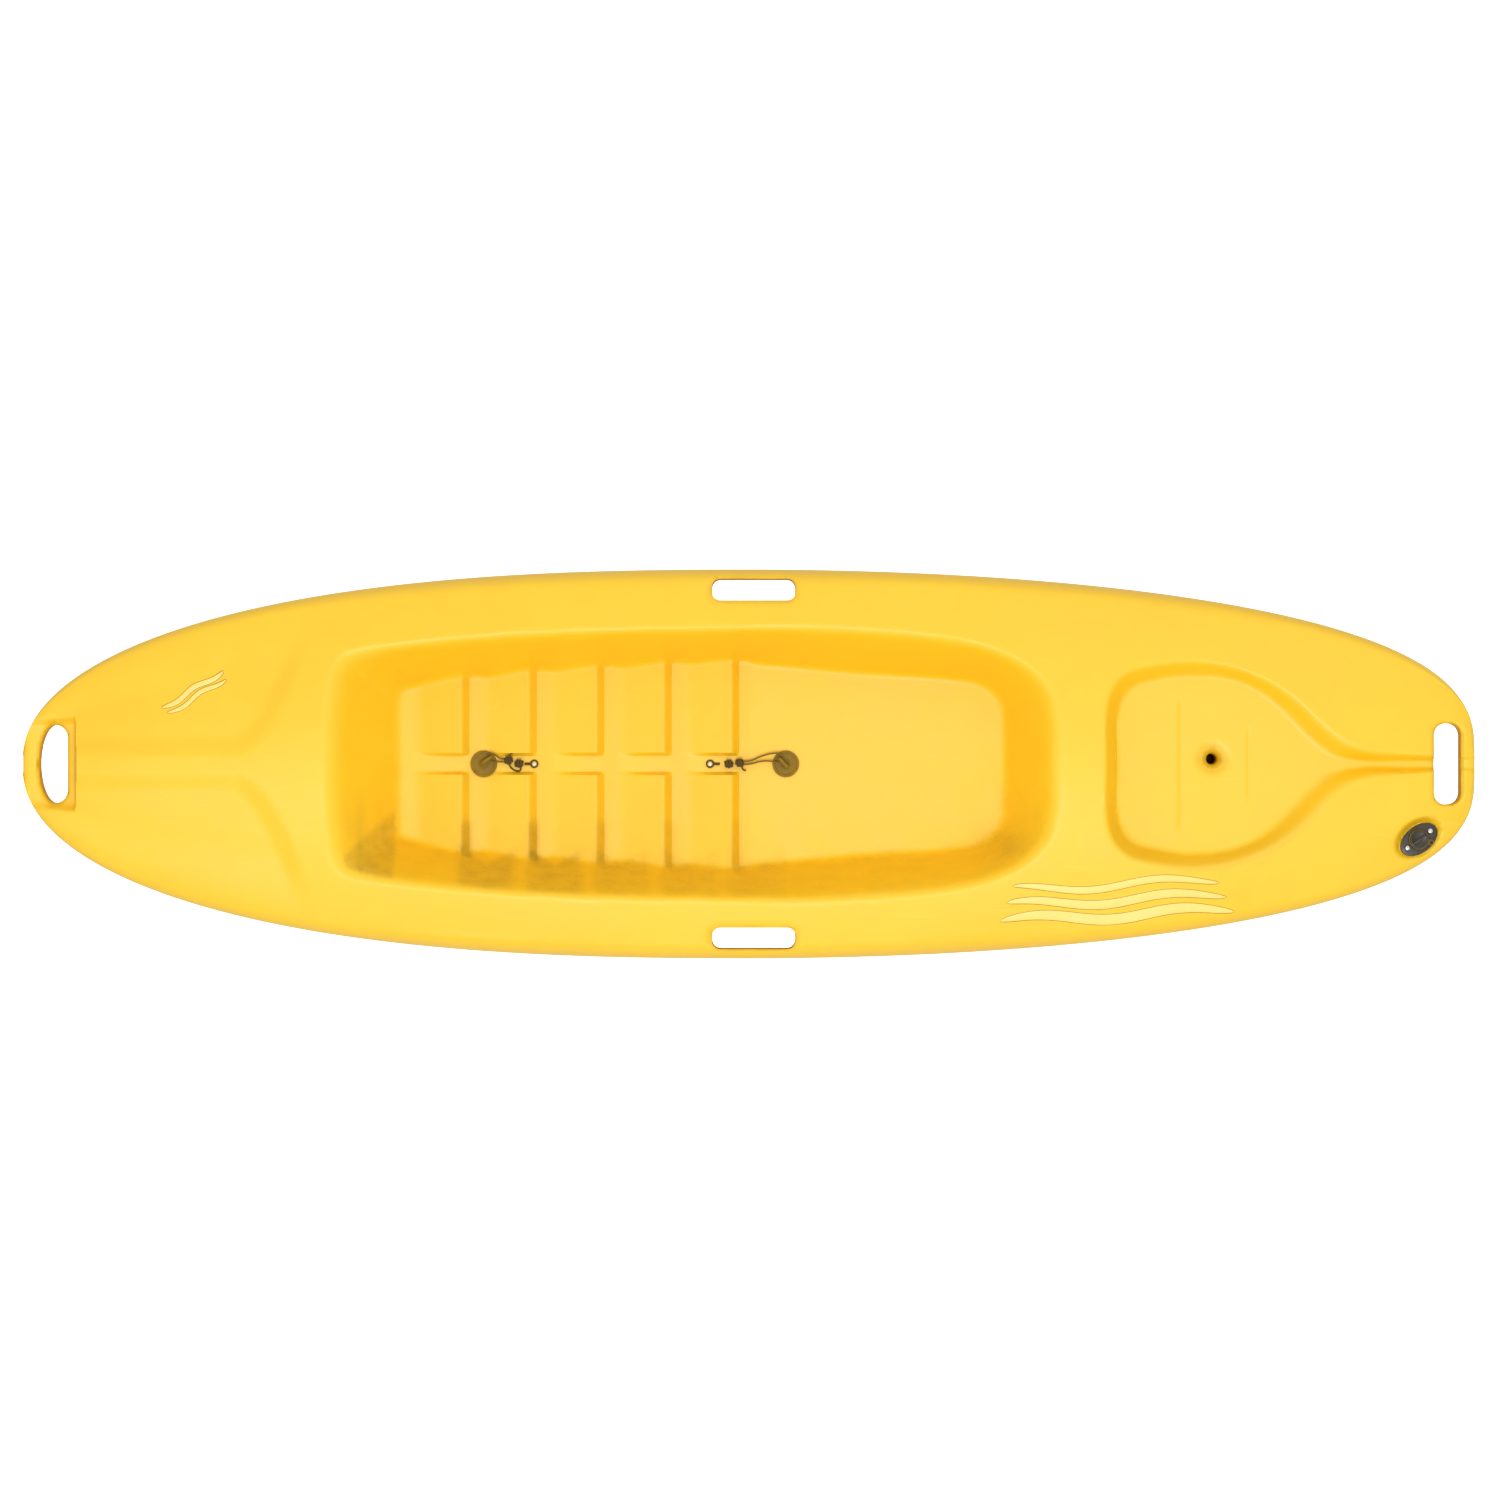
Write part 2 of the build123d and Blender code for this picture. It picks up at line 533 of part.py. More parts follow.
def rivet(name):
    """Domed rivet that holds the eyelet down, set over a washer under the floor."""
    x, under = EYELETS[name], FLOOR_Z - WALL - WASHER_H
    head = EYELET_Z + EYELET_WIRE
    with BuildPart() as pin:
        with BuildSketch(Plane(origin=(x, 0, 0), x_dir=(1, 0, 0), z_dir=(0, -1, 0))):
            with BuildLine():
                Polyline((0, head + RIVET_HEAD_H), (0, under - RIVET_TAIL_H),
                         (RIVET_TAIL_R, under - RIVET_TAIL_H), (RIVET_TAIL_R, under),
                         (RIVET_R, under), (RIVET_R, FLOOR_Z), (RIVET_COLLAR_R, FLOOR_Z),
                         (RIVET_COLLAR_R, head), (RIVET_HEAD_R, head))
                dome_r = (RIVET_HEAD_R**2 + RIVET_HEAD_H**2) / (2 * RIVET_HEAD_H)
                half_turn = asin(RIVET_HEAD_R / dome_r) / 2
                ThreePointArc((RIVET_HEAD_R, head),
                              (dome_r * sin(half_turn),
                               head + RIVET_HEAD_H - dome_r * (1 - cos(half_turn))),
                              (0, head + RIVET_HEAD_H))
            make_face()
        revolve(axis=Axis((x, 0, 0), (0, 0, 1)))
    return pin.part


def drain_ellipse(low, height, grow=0.0):
    """Oval plate of the drain fitting's outline, from low upwards over its pad."""
    with BuildPart() as plate:
        with BuildSketch(DRAIN_PLANE.offset(low)):
            Ellipse(DRAIN_FLANGE[0] / 2 + grow, DRAIN_FLANGE[1] / 2 + grow)
        extrude(amount=height)
    return plate.part


os.makedirs("parts", exist_ok=True)

# ------------------------------------------------------------ the moulding
open_space = pockets(0)
walled_space = pockets(WALL)

with BuildPart() as outer_form:
    add(hull_body(0))
    with BuildSketch(Plane.XY):
        with Locations((0, RAIL_Y), (0, -RAIL_Y)):
            SlotOverall(RAIL_LENGTH, RAIL_WIDTH)
    extrude(amount=KEEL_Z + 1)
    with BuildSketch(DRAIN_PLANE.offset(-3 * WALL)):
        Ellipse(DRAIN_FLANGE[0] / 2 + 2 + WALL, DRAIN_FLANGE[1] / 2 + 2 + WALL)
    extrude(amount=3 * WALL)
    add(open_space, mode=Mode.SUBTRACT)

with BuildPart() as cavity:
    add(hull_body(WALL))
    add(walled_space, mode=Mode.SUBTRACT)

with BuildPart() as moulding:
    add(outer_form.part)
    add(cavity.part, mode=Mode.SUBTRACT)
    add(small_holes(), mode=Mode.SUBTRACT)

# The one-piece moulding, divided where one of its features turns into the next.
with BuildPart() as cockpit_side:
    add(cockpit_well(WALL))
    add(scupper_bores(TUBE_R, FLOOR_Z))
with BuildPart() as tank_side:
    add(tank_well(WALL))
    add(kiss_off(WALL))
with BuildPart() as deck_side:
    add(parting_space())
    add(cockpit_side.part, mode=Mode.SUBTRACT)
    add(tank_side.part, mode=Mode.SUBTRACT)
with BuildPart() as hull_side:
    add(box_between((-LENGTH, -BEAM, -ABOVE), (LENGTH, BEAM, ABOVE)))
    add(parting_space(), mode=Mode.SUBTRACT)

keep(cut_out(cockpit_side.part, high=(LENGTH, BEAM, COCKPIT_WALL_Z)), "cockpit_floor")
keep(cut_out(tank_side.part, high=(LENGTH, BEAM, TANK_WALL_Z)), "tank_floor")
keep(cut_out(deck_side.part, low=(FOREDECK_X, -BEAM, 0)), "foredeck")
for side, low_y, high_y in (("port", 0, BEAM), ("starboard", -BEAM, 0)):
    keep(cut_out(hull_side.part, (-LENGTH, low_y, -ABOVE), (LENGTH, high_y, BOTTOM_Z)),
         f"hull_bottom_{side}")
    for shell, low_x, high_x in (("stern_shell", -LENGTH, AFT_DECK_X),
                                 ("hull_side", AFT_DECK_X, FOREDECK_X),
                                 ("bow_shell", FOREDECK_X, LENGTH)):
        keep(cut_out(hull_side.part, (low_x, low_y, BOTTOM_Z), (high_x, high_y, ABOVE)),
             f"{shell}_{side}")
    keep(cut_out(cockpit_side.part, (-LENGTH, low_y, COCKPIT_WALL_Z), (LENGTH, high_y, ABOVE)),
         f"cockpit_wall_{side}")
    keep(cut_out(tank_side.part, (-LENGTH, low_y, TANK_WALL_Z), (LENGTH, high_y, ABOVE)),
         f"tank_wall_{side}")
    keep(cut_out(deck_side.part, (AFT_DECK_X, low_y, 0), (FOREDECK_X, high_y, ABOVE)),
         f"side_deck_{side}")
    keep(cut_out(deck_side.part, (-LENGTH, low_y, 0), (AFT_DECK_X, high_y, ABOVE)),
         f"aft_deck_{side}")

# ---------------------------------------------------------------- the foam
for end, sizes in FOAM.items():
    keep(foam_block(*sizes), f"foam_block_{end}")

# --------------------------------------------------- the bungs and tethers
MAKERS = {"scupper_plug": scupper_plug, "tether_cord": tether_cord, "tether_knots": knots,
          "tether_eyelet": eyelet, "tether_rivet": rivet}
for place in SCUPPERS:
    for kind, maker in MAKERS.items():
        keep(maker(place), f"{kind}_{place}")

with BuildPart() as rivet_washers:
    with BuildSketch(Plane.XY.offset(FLOOR_Z - WALL - WASHER_H)):
        with Locations(*[(x, 0) for x in EYELETS.values()]):
            Circle(WASHER_R)
            Circle(RIVET_R, mode=Mode.SUBTRACT)
    extrude(amount=WASHER_H)
keep(rivet_washers.part, "rivet_washers")

# --------------------------------------------------------- the drain plug
with BuildPart() as drain_gasket:
    add(drain_ellipse(0, GASKET_H))
    with BuildSketch(DRAIN_PLANE):
        Circle(DRAIN_HOLE_R)
        with GridLocations(SCREW_SPACING, 1, 2, 1):
            Circle(SCREW_R)
    extrude(amount=GASKET_H, mode=Mode.SUBTRACT)
keep(drain_gasket.part, "drain_gasket")

plate_top = GASKET_H + DRAIN_FLANGE[2]
collar_top = plate_top + COLLAR_H
with BuildPart() as drain_flange:
    add(drain_ellipse(GASKET_H, DRAIN_FLANGE[2]))
    fillet(drain_flange.faces().sort_by(Axis.Z)[-1].edges(), 1.2)
    with BuildSketch(DRAIN_PLANE.offset(plate_top)):
        Circle(COLLAR_R)
    extrude(amount=COLLAR_H)
    with BuildSketch(DRAIN_PLANE.offset(GASKET_H)):
        Circle(BARREL_R)
    extrude(amount=-BARREL_LENGTH)
    with BuildSketch(DRAIN_PLANE.offset(collar_top)):
        Circle(DRAIN_BORE_R)
        with GridLocations(SCREW_SPACING, 1, 2, 1):
            Circle(SCREW_R)
    extrude(amount=-2 * BARREL_LENGTH, mode=Mode.SUBTRACT)
keep(drain_flange.part, "drain_flange")

with BuildPart() as drain_screws:
    with BuildSketch(DRAIN_PLANE.offset(plate_top)):
        with GridLocations(SCREW_SPACING, 1, 2, 1):
            Circle(SCREW_R)
    extrude(amount=-SCREW_LENGTH)
    with BuildSketch(DRAIN_PLANE.offset(plate_top)):
        with GridLocations(SCREW_SPACING, 1, 2, 1):
            Circle(SCREW_HEAD_R)
    extrude(amount=SCREW_HEAD_H)
    fillet(drain_screws.edges().group_by(Axis.Z)[-1], SCREW_HEAD_H / 2)
keep(drain_screws.part, "drain_screws")

ring_z = collar_top + PLUG_GAP
cap_z = ring_z + 2 * O_RING_WIRE + PLUG_GAP
with BuildPart() as drain_plug:
    with BuildSketch(DRAIN_PLANE.offset(cap_z)):
        Circle(STEM_R)
    extrude(amount=-STEM_LENGTH)
    with BuildSketch(DRAIN_PLANE.offset(cap_z)):
        Circle(CAP_R)
    extrude(amount=CAP_H)
    fillet(drain_plug.edges().group_by(Axis.Z)[-1], 1.5)
    with BuildSketch(DRAIN_PLANE.offset(cap_z + CAP_H)):
        RectangleRounded(GRIP[0], GRIP[1], GRIP[1] / 2 - 0.1)
    extrude(amount=GRIP[2])
keep(drain_plug.part, "drain_plug")

with BuildPart() as drain_o_ring:
    with BuildSketch(Plane(origin=DRAIN_PLANE.offset(ring_z + O_RING_WIRE).origin,
                           x_dir=(1, 0, 0), z_dir=(0, -1, 0))):
        with Locations((O_RING_R, 0)):
            Circle(O_RING_WIRE)
    revolve(axis=Axis(DRAIN_PLANE.origin, (0, 0, 1)))
keep(drain_o_ring.part, "drain_o_ring")

with BuildPart() as drain_leash:
    with BuildSketch(DRAIN_PLANE.offset(ring_z)):
        Circle(LEASH_R[1])
        Circle(LEASH_R[0], mode=Mode.SUBTRACT)
        with PolarLocations(LEASH_R[1] + LEASH_LOOP_R - 1, 1, start_angle=LEASH_TURN):
            Circle(LEASH_LOOP_R)
            Circle(LEASH_LOOP_R - LEASH_H, mode=Mode.SUBTRACT)
        Circle(LEASH_R[0], mode=Mode.SUBTRACT)
    extrude(amount=LEASH_H)
keep(drain_leash.part, "drain_leash")
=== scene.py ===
"""Sit-on-top kayak for a child: the looks of its moulding, bungs, tethers and drain fitting.

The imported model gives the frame: +X to the bow, +Y to port, +Z up, in metres, with the origin
in the middle of the plan on the surface that the keel rails rest on.
"""

from __future__ import annotations

import json
import logging
import math
from dataclasses import dataclass
from enum import Enum
from typing import Sequence

import bpy
import numpy as np
from mathutils import Matrix, Vector


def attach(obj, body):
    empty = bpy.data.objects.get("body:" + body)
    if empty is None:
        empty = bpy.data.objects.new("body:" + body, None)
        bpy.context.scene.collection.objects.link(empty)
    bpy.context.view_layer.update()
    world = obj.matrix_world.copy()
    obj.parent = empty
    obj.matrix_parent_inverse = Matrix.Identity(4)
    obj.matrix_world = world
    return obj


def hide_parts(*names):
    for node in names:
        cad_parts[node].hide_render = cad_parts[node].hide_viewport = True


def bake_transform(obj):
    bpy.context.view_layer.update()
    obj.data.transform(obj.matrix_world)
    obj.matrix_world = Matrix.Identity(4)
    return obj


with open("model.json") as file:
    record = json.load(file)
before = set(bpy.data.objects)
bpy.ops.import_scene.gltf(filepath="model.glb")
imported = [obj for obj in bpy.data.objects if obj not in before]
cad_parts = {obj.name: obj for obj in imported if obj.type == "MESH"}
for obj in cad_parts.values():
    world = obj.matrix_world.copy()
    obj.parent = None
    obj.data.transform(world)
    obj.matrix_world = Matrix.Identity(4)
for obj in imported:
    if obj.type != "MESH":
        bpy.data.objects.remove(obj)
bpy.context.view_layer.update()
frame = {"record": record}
LOG = logging.getLogger("kayak")

Point = tuple[float, float, float]
Flat = tuple[float, float]
Array = np.ndarray


class Body(Enum):
    """The rigid bodies that pieces ride on."""

    HULL = "hull"
    FRONT_BUNG = "front_bung"
    REAR_BUNG = "rear_bung"
    DRAIN_LIFT = "drain_lift"
    DRAIN_PLUG = "drain_screw_plug"


class Place(Enum):
    """The two scuppers, each with its bung and tether."""

    FRONT = "front"
    REAR = "rear"


# --------------------------------------------------------------------------- curves and blends


def ease(start: float, end: float, value: Array) -> Array:
    """Smooth step from 0 at start to 1 at end.

    Args:
        start: Value where the step begins.
        end: Value where the step is complete; it may be below start.
        value: Where to evaluate it.

    Returns:
        The eased share, from 0 to 1.
    """
    share = np.clip((value - start) / (end - start), 0.0, 1.0)
    return share * share * (3.0 - 2.0 * share)


def soft_max(first: Array, second: Array, width: float) -> Array:
    """Larger of two values, with the corner between them rounded over width.

    Args:
        first: One value.
        second: The other value.
        width: How far apart the two are where the rounding ends.

    Returns:
        The rounded maximum.
    """
    near = np.clip(width - np.abs(first - second), 0.0, None) / width
    return np.maximum(first, second) + near * near * width / 4.0


def soft_min(first: Array, second: Array, width: float) -> Array:
    """Smaller of two values, rounded as soft_max rounds the larger."""
    return -soft_max(-np.asarray(first), -np.asarray(second), width)


def bezier(points: Sequence[tuple[Array, Array]], share: Array) -> tuple[Array, Array]:
    """Point on a cubic Bezier curve.

    Args:
        points: Its four control points, each as two coordinates.
        share: Place along the curve, from 0 to 1.

    Returns:
        The two coordinates.
    """
    rest = 1.0 - share
    weights = (rest**3, 3 * rest**2 * share, 3 * rest * share**2, share**3)
    return tuple(sum(w * p[i] for w, p in zip(weights, points)) for i in (0, 1))


def mirrored_outline(half: Sequence[Flat], steps: int = 7) -> Array:
    """Closed outline, symmetric about y = 0, through the points of one half.

    Args:
        half: Points (x, y) of the half with positive y, first and last on the centre line.
        steps: How many short straights stand for the curve between two points.

    Returns:
        The outline's corners, one row each.
    """
    knots = np.array(list(half) + [(x, -y) for x, y in reversed(half[1:-1])])
    outline = []
    for i in range(len(knots)):
        before, start, end, after = (knots[(i + k) % len(knots)] for k in (-1, 0, 1, 2))
        spans = [max(math.dist(a, b), 1e-6) ** 0.5
                 for a, b in ((before, start), (start, end), (end, after))]
        leave = (start - before) / spans[0] - (end - before) / (spans[0] + spans[1])
        leave = spans[1] * (leave + (end - start) / spans[1])
        arrive = (end - start) / spans[1] - (after - start) / (spans[1] + spans[2])
        arrive = spans[1] * (arrive + (after - end) / spans[2])
        for share in np.arange(steps) / steps:
            square, cube = share**2, share**3
            outline.append((2 * cube - 3 * square + 1) * start + (cube - 2 * square + share)
                           * leave + (3 * square - 2 * cube) * end + (cube - square) * arrive)
    return np.array(outline)


def distance_outside(x: Array, y: Array, outline: Array) -> Array:
    """Signed distance to a closed outline.

    Args:
        x: Points' x, flat array.
        y: Points' y.
        outline: The outline's corners.

    Returns:
        Distance in metres, below 0 inside the outline.
    """
    best = np.full(x.shape, 1e9)
    inside = np.zeros(x.shape, bool)
    for (ax, ay), (bx, by) in zip(outline, np.roll(outline, -1, axis=0)):
        dx, dy = bx - ax, by - ay
        share = np.clip(((x - ax) * dx + (y - ay) * dy) / max(dx * dx + dy * dy, 1e-12), 0, 1)
        best = np.minimum(best, np.hypot(x - ax - share * dx, y - ay - share * dy))
        if dy:
            crosses = (ay > y) != (by > y)
            inside ^= crosses & (x < ax + (y - ay) * dx / dy)
    return np.where(inside, -best, best)


def rounded_box(x: Array, y: Array, centre: Flat, size: Flat, radius: float) -> Array:
    """Signed distance to a rectangle with round corners, below 0 inside it."""
    out_x = np.abs(x - centre[0]) - size[0] / 2 + radius
    out_y = np.abs(y - centre[1]) - size[1] / 2 + radius
    outside = np.hypot(np.maximum(out_x, 0), np.maximum(out_y, 0))
    return outside + np.minimum(np.maximum(out_x, out_y), 0) - radius


def spaced_lines(runs: Sequence[tuple[float, float, float]]) -> Array:
    """Grid lines with a spacing of their own in each run (start, end, spacing)."""
    lines = [np.linspace(a, b, max(1, round(abs(b - a) / step)) + 1)[:-1] for a, b, step in runs]
    return np.append(np.concatenate(lines), runs[-1][1])


# ------------------------------------------------------------------------------- modelling


def clear_selection() -> None:
    """Leaves edit mode and deselects everything."""
    if bpy.context.object and bpy.context.object.mode != "OBJECT":
        bpy.ops.object.mode_set(mode="OBJECT")
    bpy.ops.object.select_all(action="DESELECT")


def take(piece: bpy.types.Object) -> bpy.types.Object:
    """Makes a piece the only selected and active object."""
    clear_selection()
    piece.select_set(True)
    bpy.context.view_layer.objects.active = piece
    return piece


def apply_modifiers(piece: bpy.types.Object) -> None:
    """Applies every modifier of a piece in order."""
    take(piece)
    for modifier in list(piece.modifiers):
        bpy.ops.object.modifier_apply(modifier=modifier.name)


def finish_piece(piece: bpy.types.Object, name: str, material: bpy.types.Material,
                 angle: float = 35.0) -> bpy.types.Object:
    """Names and dresses a finished mesh, with its place in its mesh and its faces outward.

    Args:
        piece: The mesh object.
        name: Its name.
        material: Its material.
        angle: Edges sharper than this many degrees stay sharp.

    Returns:
        The same object.
    """
    take(piece)
    bpy.ops.object.transform_apply(location=True, rotation=True, scale=True)
    bpy.ops.object.mode_set(mode="EDIT")
    bpy.ops.mesh.select_all(action="SELECT")
    bpy.ops.mesh.remove_doubles(threshold=1e-6)
    bpy.ops.mesh.normals_make_consistent(inside=False)
    bpy.ops.object.mode_set(mode="OBJECT")
    bpy.ops.object.shade_smooth_by_angle(angle=math.radians(angle))
    piece.name = piece.data.name = name
    piece.data.materials.clear()
    piece.data.materials.append(material)
    LOG.info("%s: %d faces", name, len(piece.data.polygons))
    return piece


def lathe(centre: Point, profile: Sequence[Flat], segments: int = 64) -> bpy.types.Object:
    """Turned solid: a disc, extruded and scaled through the profile.

    Args:
        centre: Where radius 0 and height 0 are.
        profile: (radius, height) points from the lower end cap to the upper one.
        segments: Sides of the turned form.

    Returns:
        The closed mesh.
    """
    radius, height = profile[0]
    clear_selection()
    bpy.ops.mesh.primitive_circle_add(vertices=segments, radius=radius, fill_type="NGON",
                                      location=(centre[0], centre[1], centre[2] + height))
    bpy.ops.object.transform_apply(location=True)
    bpy.ops.object.mode_set(mode="EDIT")
    bpy.ops.mesh.select_all(action="SELECT")
    for next_radius, next_height in profile[1:]:
        shift = (0.0, 0.0, next_height - height)
        bpy.ops.mesh.extrude_region_move(TRANSFORM_OT_translate={"value": shift})
        scale = next_radius / radius
        bpy.ops.transform.resize(value=(scale, scale, 1.0),
                                 center_override=(centre[0], centre[1], centre[2] + next_height))
        radius, height = next_radius, next_height
    bpy.ops.object.mode_set(mode="OBJECT")
    return bpy.context.object


def prism(outline: Array, low: float, high: float) -> bpy.types.Object:
    """Upright solid over a closed outline.

    Args:
        outline: The outline's corners (x, y), in order.
        low: Height of its foot.
        high: Height of its top.

    Returns:
        The closed mesh.
    """
    clear_selection()
    bpy.ops.mesh.primitive_circle_add(vertices=len(outline), radius=1.0, fill_type="NGON")
    solid = bpy.context.object
    places = np.column_stack([outline, np.full(len(outline), low)])
    solid.data.vertices.foreach_set("co", places.ravel())
    bpy.ops.object.mode_set(mode="EDIT")
    bpy.ops.mesh.select_all(action="SELECT")
    bpy.ops.mesh.extrude_region_move(TRANSFORM_OT_translate={"value": (0.0, 0.0, high - low)})
    bpy.ops.mesh.normals_make_consistent(inside=False)
    bpy.ops.object.mode_set(mode="OBJECT")
    return solid


def shaped_grid(places: Array) -> bpy.types.Object:
    """Grid primitive with its vertices set out over a surface.

    Args:
        places: Coordinates, indexed by row, column and axis.

    Returns:
        The open mesh.
    """
    rows, columns = places.shape[:2]
    clear_selection()
    bpy.ops.mesh.primitive_grid_add(x_subdivisions=columns - 1, y_subdivisions=rows - 1)
    sheet = bpy.context.object
    sheet.data.vertices.foreach_set("co", places.reshape(-1))
    sheet.data.update()
    return sheet


def join(pieces: Sequence[bpy.types.Object]) -> bpy.types.Object:
    """Joins meshes into the first of them."""
    take(pieces[0])
    for piece in pieces[1:]:
        piece.select_set(True)
    bpy.ops.object.join()
    return pieces[0]


def combine(piece: bpy.types.Object, tool: bpy.types.Object, operation: str) -> bpy.types.Object:
    """Adds a solid to a piece (UNION) or cuts it away (DIFFERENCE), and uses the solid up."""
    change = piece.modifiers.new("combine", "BOOLEAN")
    change.operation, change.solver, change.object = operation, "EXACT", tool
    apply_modifiers(piece)
    bpy.data.objects.remove(tool)
    return piece


def set_down(piece: bpy.types.Object, matrix: Matrix) -> bpy.types.Object:
    """Turns and moves a piece by a matrix, and keeps its place in its mesh."""
    take(piece)
    piece.matrix_world = matrix @ piece.matrix_world
    bpy.ops.object.transform_apply(location=True, rotation=True, scale=True)
    return piece


def soften(piece: bpy.types.Object, width: float, segments: int = 3) -> bpy.types.Object:
    """Rounds a piece's sharp edges with an applied bevel of that width."""
    bevel = piece.modifiers.new("soft edges", "BEVEL")
    bevel.width, bevel.segments, bevel.limit_method = width, segments, "ANGLE"
    bevel.angle_limit = math.radians(40.0)
    apply_modifiers(piece)
    return piece


# ------------------------------------------------------------------------------- materials


class Grain(Enum):
    """The shader node groups that several finishes share."""

    MOTTLE = "mottle"
    PEEL = "moulding_peel"
    SCUFFS = "scuffs"


class NodeKit:
    """Short ways to add and link nodes in one node tree."""

    def __init__(self, tree: bpy.types.NodeTree) -> None:
        """Keeps the tree that nodes are added to."""
        self.tree = tree

    def add(self, kind: str, settings: dict | None = None, **inputs: object) -> bpy.types.Node:
        """Adds a node.

        Args:
            kind: Its type without the word ShaderNode in front.
            settings: Properties of the node itself.
            **inputs: Values or output sockets for its inputs, with _ for a space in a name.

        Returns:
            The node.
        """
        node = self.tree.nodes.new("ShaderNode" + kind)
        for name, value in (settings or {}).items():
            setattr(node, name, value)
        for name, value in inputs.items():
            key = int(name[1:]) if name[0] == "i" and name[1:].isdigit() else name.replace("_", " ")
            if isinstance(value, bpy.types.NodeSocket):
                self.tree.links.new(value, node.inputs[key])
            else:
                node.inputs[key].default_value = value
        return node

    def place(self) -> bpy.types.NodeSocket:
        """Object coordinates."""
        return self.add("TexCoord").outputs["Object"]

    def noise(self, vector: bpy.types.NodeSocket, scale: float, detail: float = 3.0,
              roughness: float = 0.55) -> bpy.types.NodeSocket:
        """Noise from 0 to 1 at a scale, in features per metre."""
        return self.add("TexNoise", Vector=vector, Scale=scale, Detail=detail,
                        Roughness=roughness).outputs["Fac"]

    def ramp(self, value: bpy.types.NodeSocket, low: float, high: float,
             start: float = 0.0, end: float = 1.0) -> bpy.types.NodeSocket:
        """Value mapped from low..high to start..end and held there."""
        return self.add("MapRange", {"interpolation_type": "SMOOTHSTEP"}, Value=value,
                        From_Min=low, From_Max=high, To_Min=start, To_Max=end).outputs[0]

    def math(self, operation: str, *operands: object) -> bpy.types.NodeSocket:
        """Result of a Math node."""
        inputs = {f"i{index}": operand for index, operand in enumerate(operands)}
        return self.add("Math", {"operation": operation}, **inputs).outputs[0]

    def mix(self, share: object, first: object, second: object) -> bpy.types.NodeSocket:
        """Colour between two others."""
        node = self.add("Mix", {"data_type": "RGBA"})
        for socket, value in ((node.inputs[0], share), (node.inputs[6], first),
                              (node.inputs[7], second)):
            if isinstance(value, bpy.types.NodeSocket):
                self.tree.links.new(value, socket)
            else:
                socket.default_value = value
        return node.outputs[2]

    def bump(self, height: bpy.types.NodeSocket, distance: float,
             strength: float = 1.0) -> bpy.types.NodeSocket:
        """Normal that a height in metres times distance gives."""
        return self.add("Bump", Height=height, Distance=distance,
                        Strength=strength).outputs["Normal"]


def grain_group(grain: Grain) -> bpy.types.NodeTree:
    """Builds a shared effect once, with a Scale input and a Mask output.

    Args:
        grain: Which effect it is.

    Returns:
        The node group.
    """
    if grain.value in bpy.data.node_groups:
        return bpy.data.node_groups[grain.value]
    tree = bpy.data.node_groups.new(grain.value, "ShaderNodeTree")
    tree.interface.new_socket("Scale", in_out="INPUT", socket_type="NodeSocketFloat")
    tree.interface.new_socket("Mask", in_out="OUTPUT", socket_type="NodeSocketFloat")
    kit = NodeKit(tree)
    scale = tree.nodes.new("NodeGroupInput").outputs["Scale"]
    if grain is Grain.MOTTLE:
        coarse, fine = kit.noise(kit.place(), scale, 2.0), kit.noise(
            kit.place(), kit.math("MULTIPLY", scale, 5.3), 4.0)
        mask = kit.math("MULTIPLY_ADD", coarse, 0.65, kit.math("MULTIPLY", fine, 0.35))
    elif grain is Grain.PEEL:
        cells = kit.add("TexVoronoi", {"feature": "SMOOTH_F1"}, Vector=kit.place(), Scale=scale)
        mask = kit.math("ADD", cells.outputs["Distance"],
                        kit.noise(kit.place(), kit.math("MULTIPLY", scale, 2.1), 2.0))
    else:
        turned = kit.add("Mapping", Vector=kit.place(), Rotation=(0.0, 0.0, 0.35),
                         Scale=(1.0, 9.0, 3.0)).outputs[0]
        across = kit.add("Mapping", Vector=kit.place(), Rotation=(0.0, 0.0, 1.4),
                         Scale=(1.0, 11.0, 2.0)).outputs[0]
        long_marks = kit.ramp(kit.noise(turned, scale, 5.0, 0.7), 0.62, 0.72)
        cross_marks = kit.ramp(kit.noise(across, scale, 5.0, 0.7), 0.64, 0.74)
        mask = kit.math("MAXIMUM", long_marks, cross_marks)
    result = tree.nodes.new("NodeGroupOutput")
    tree.links.new(mask, result.inputs["Mask"])
    return tree


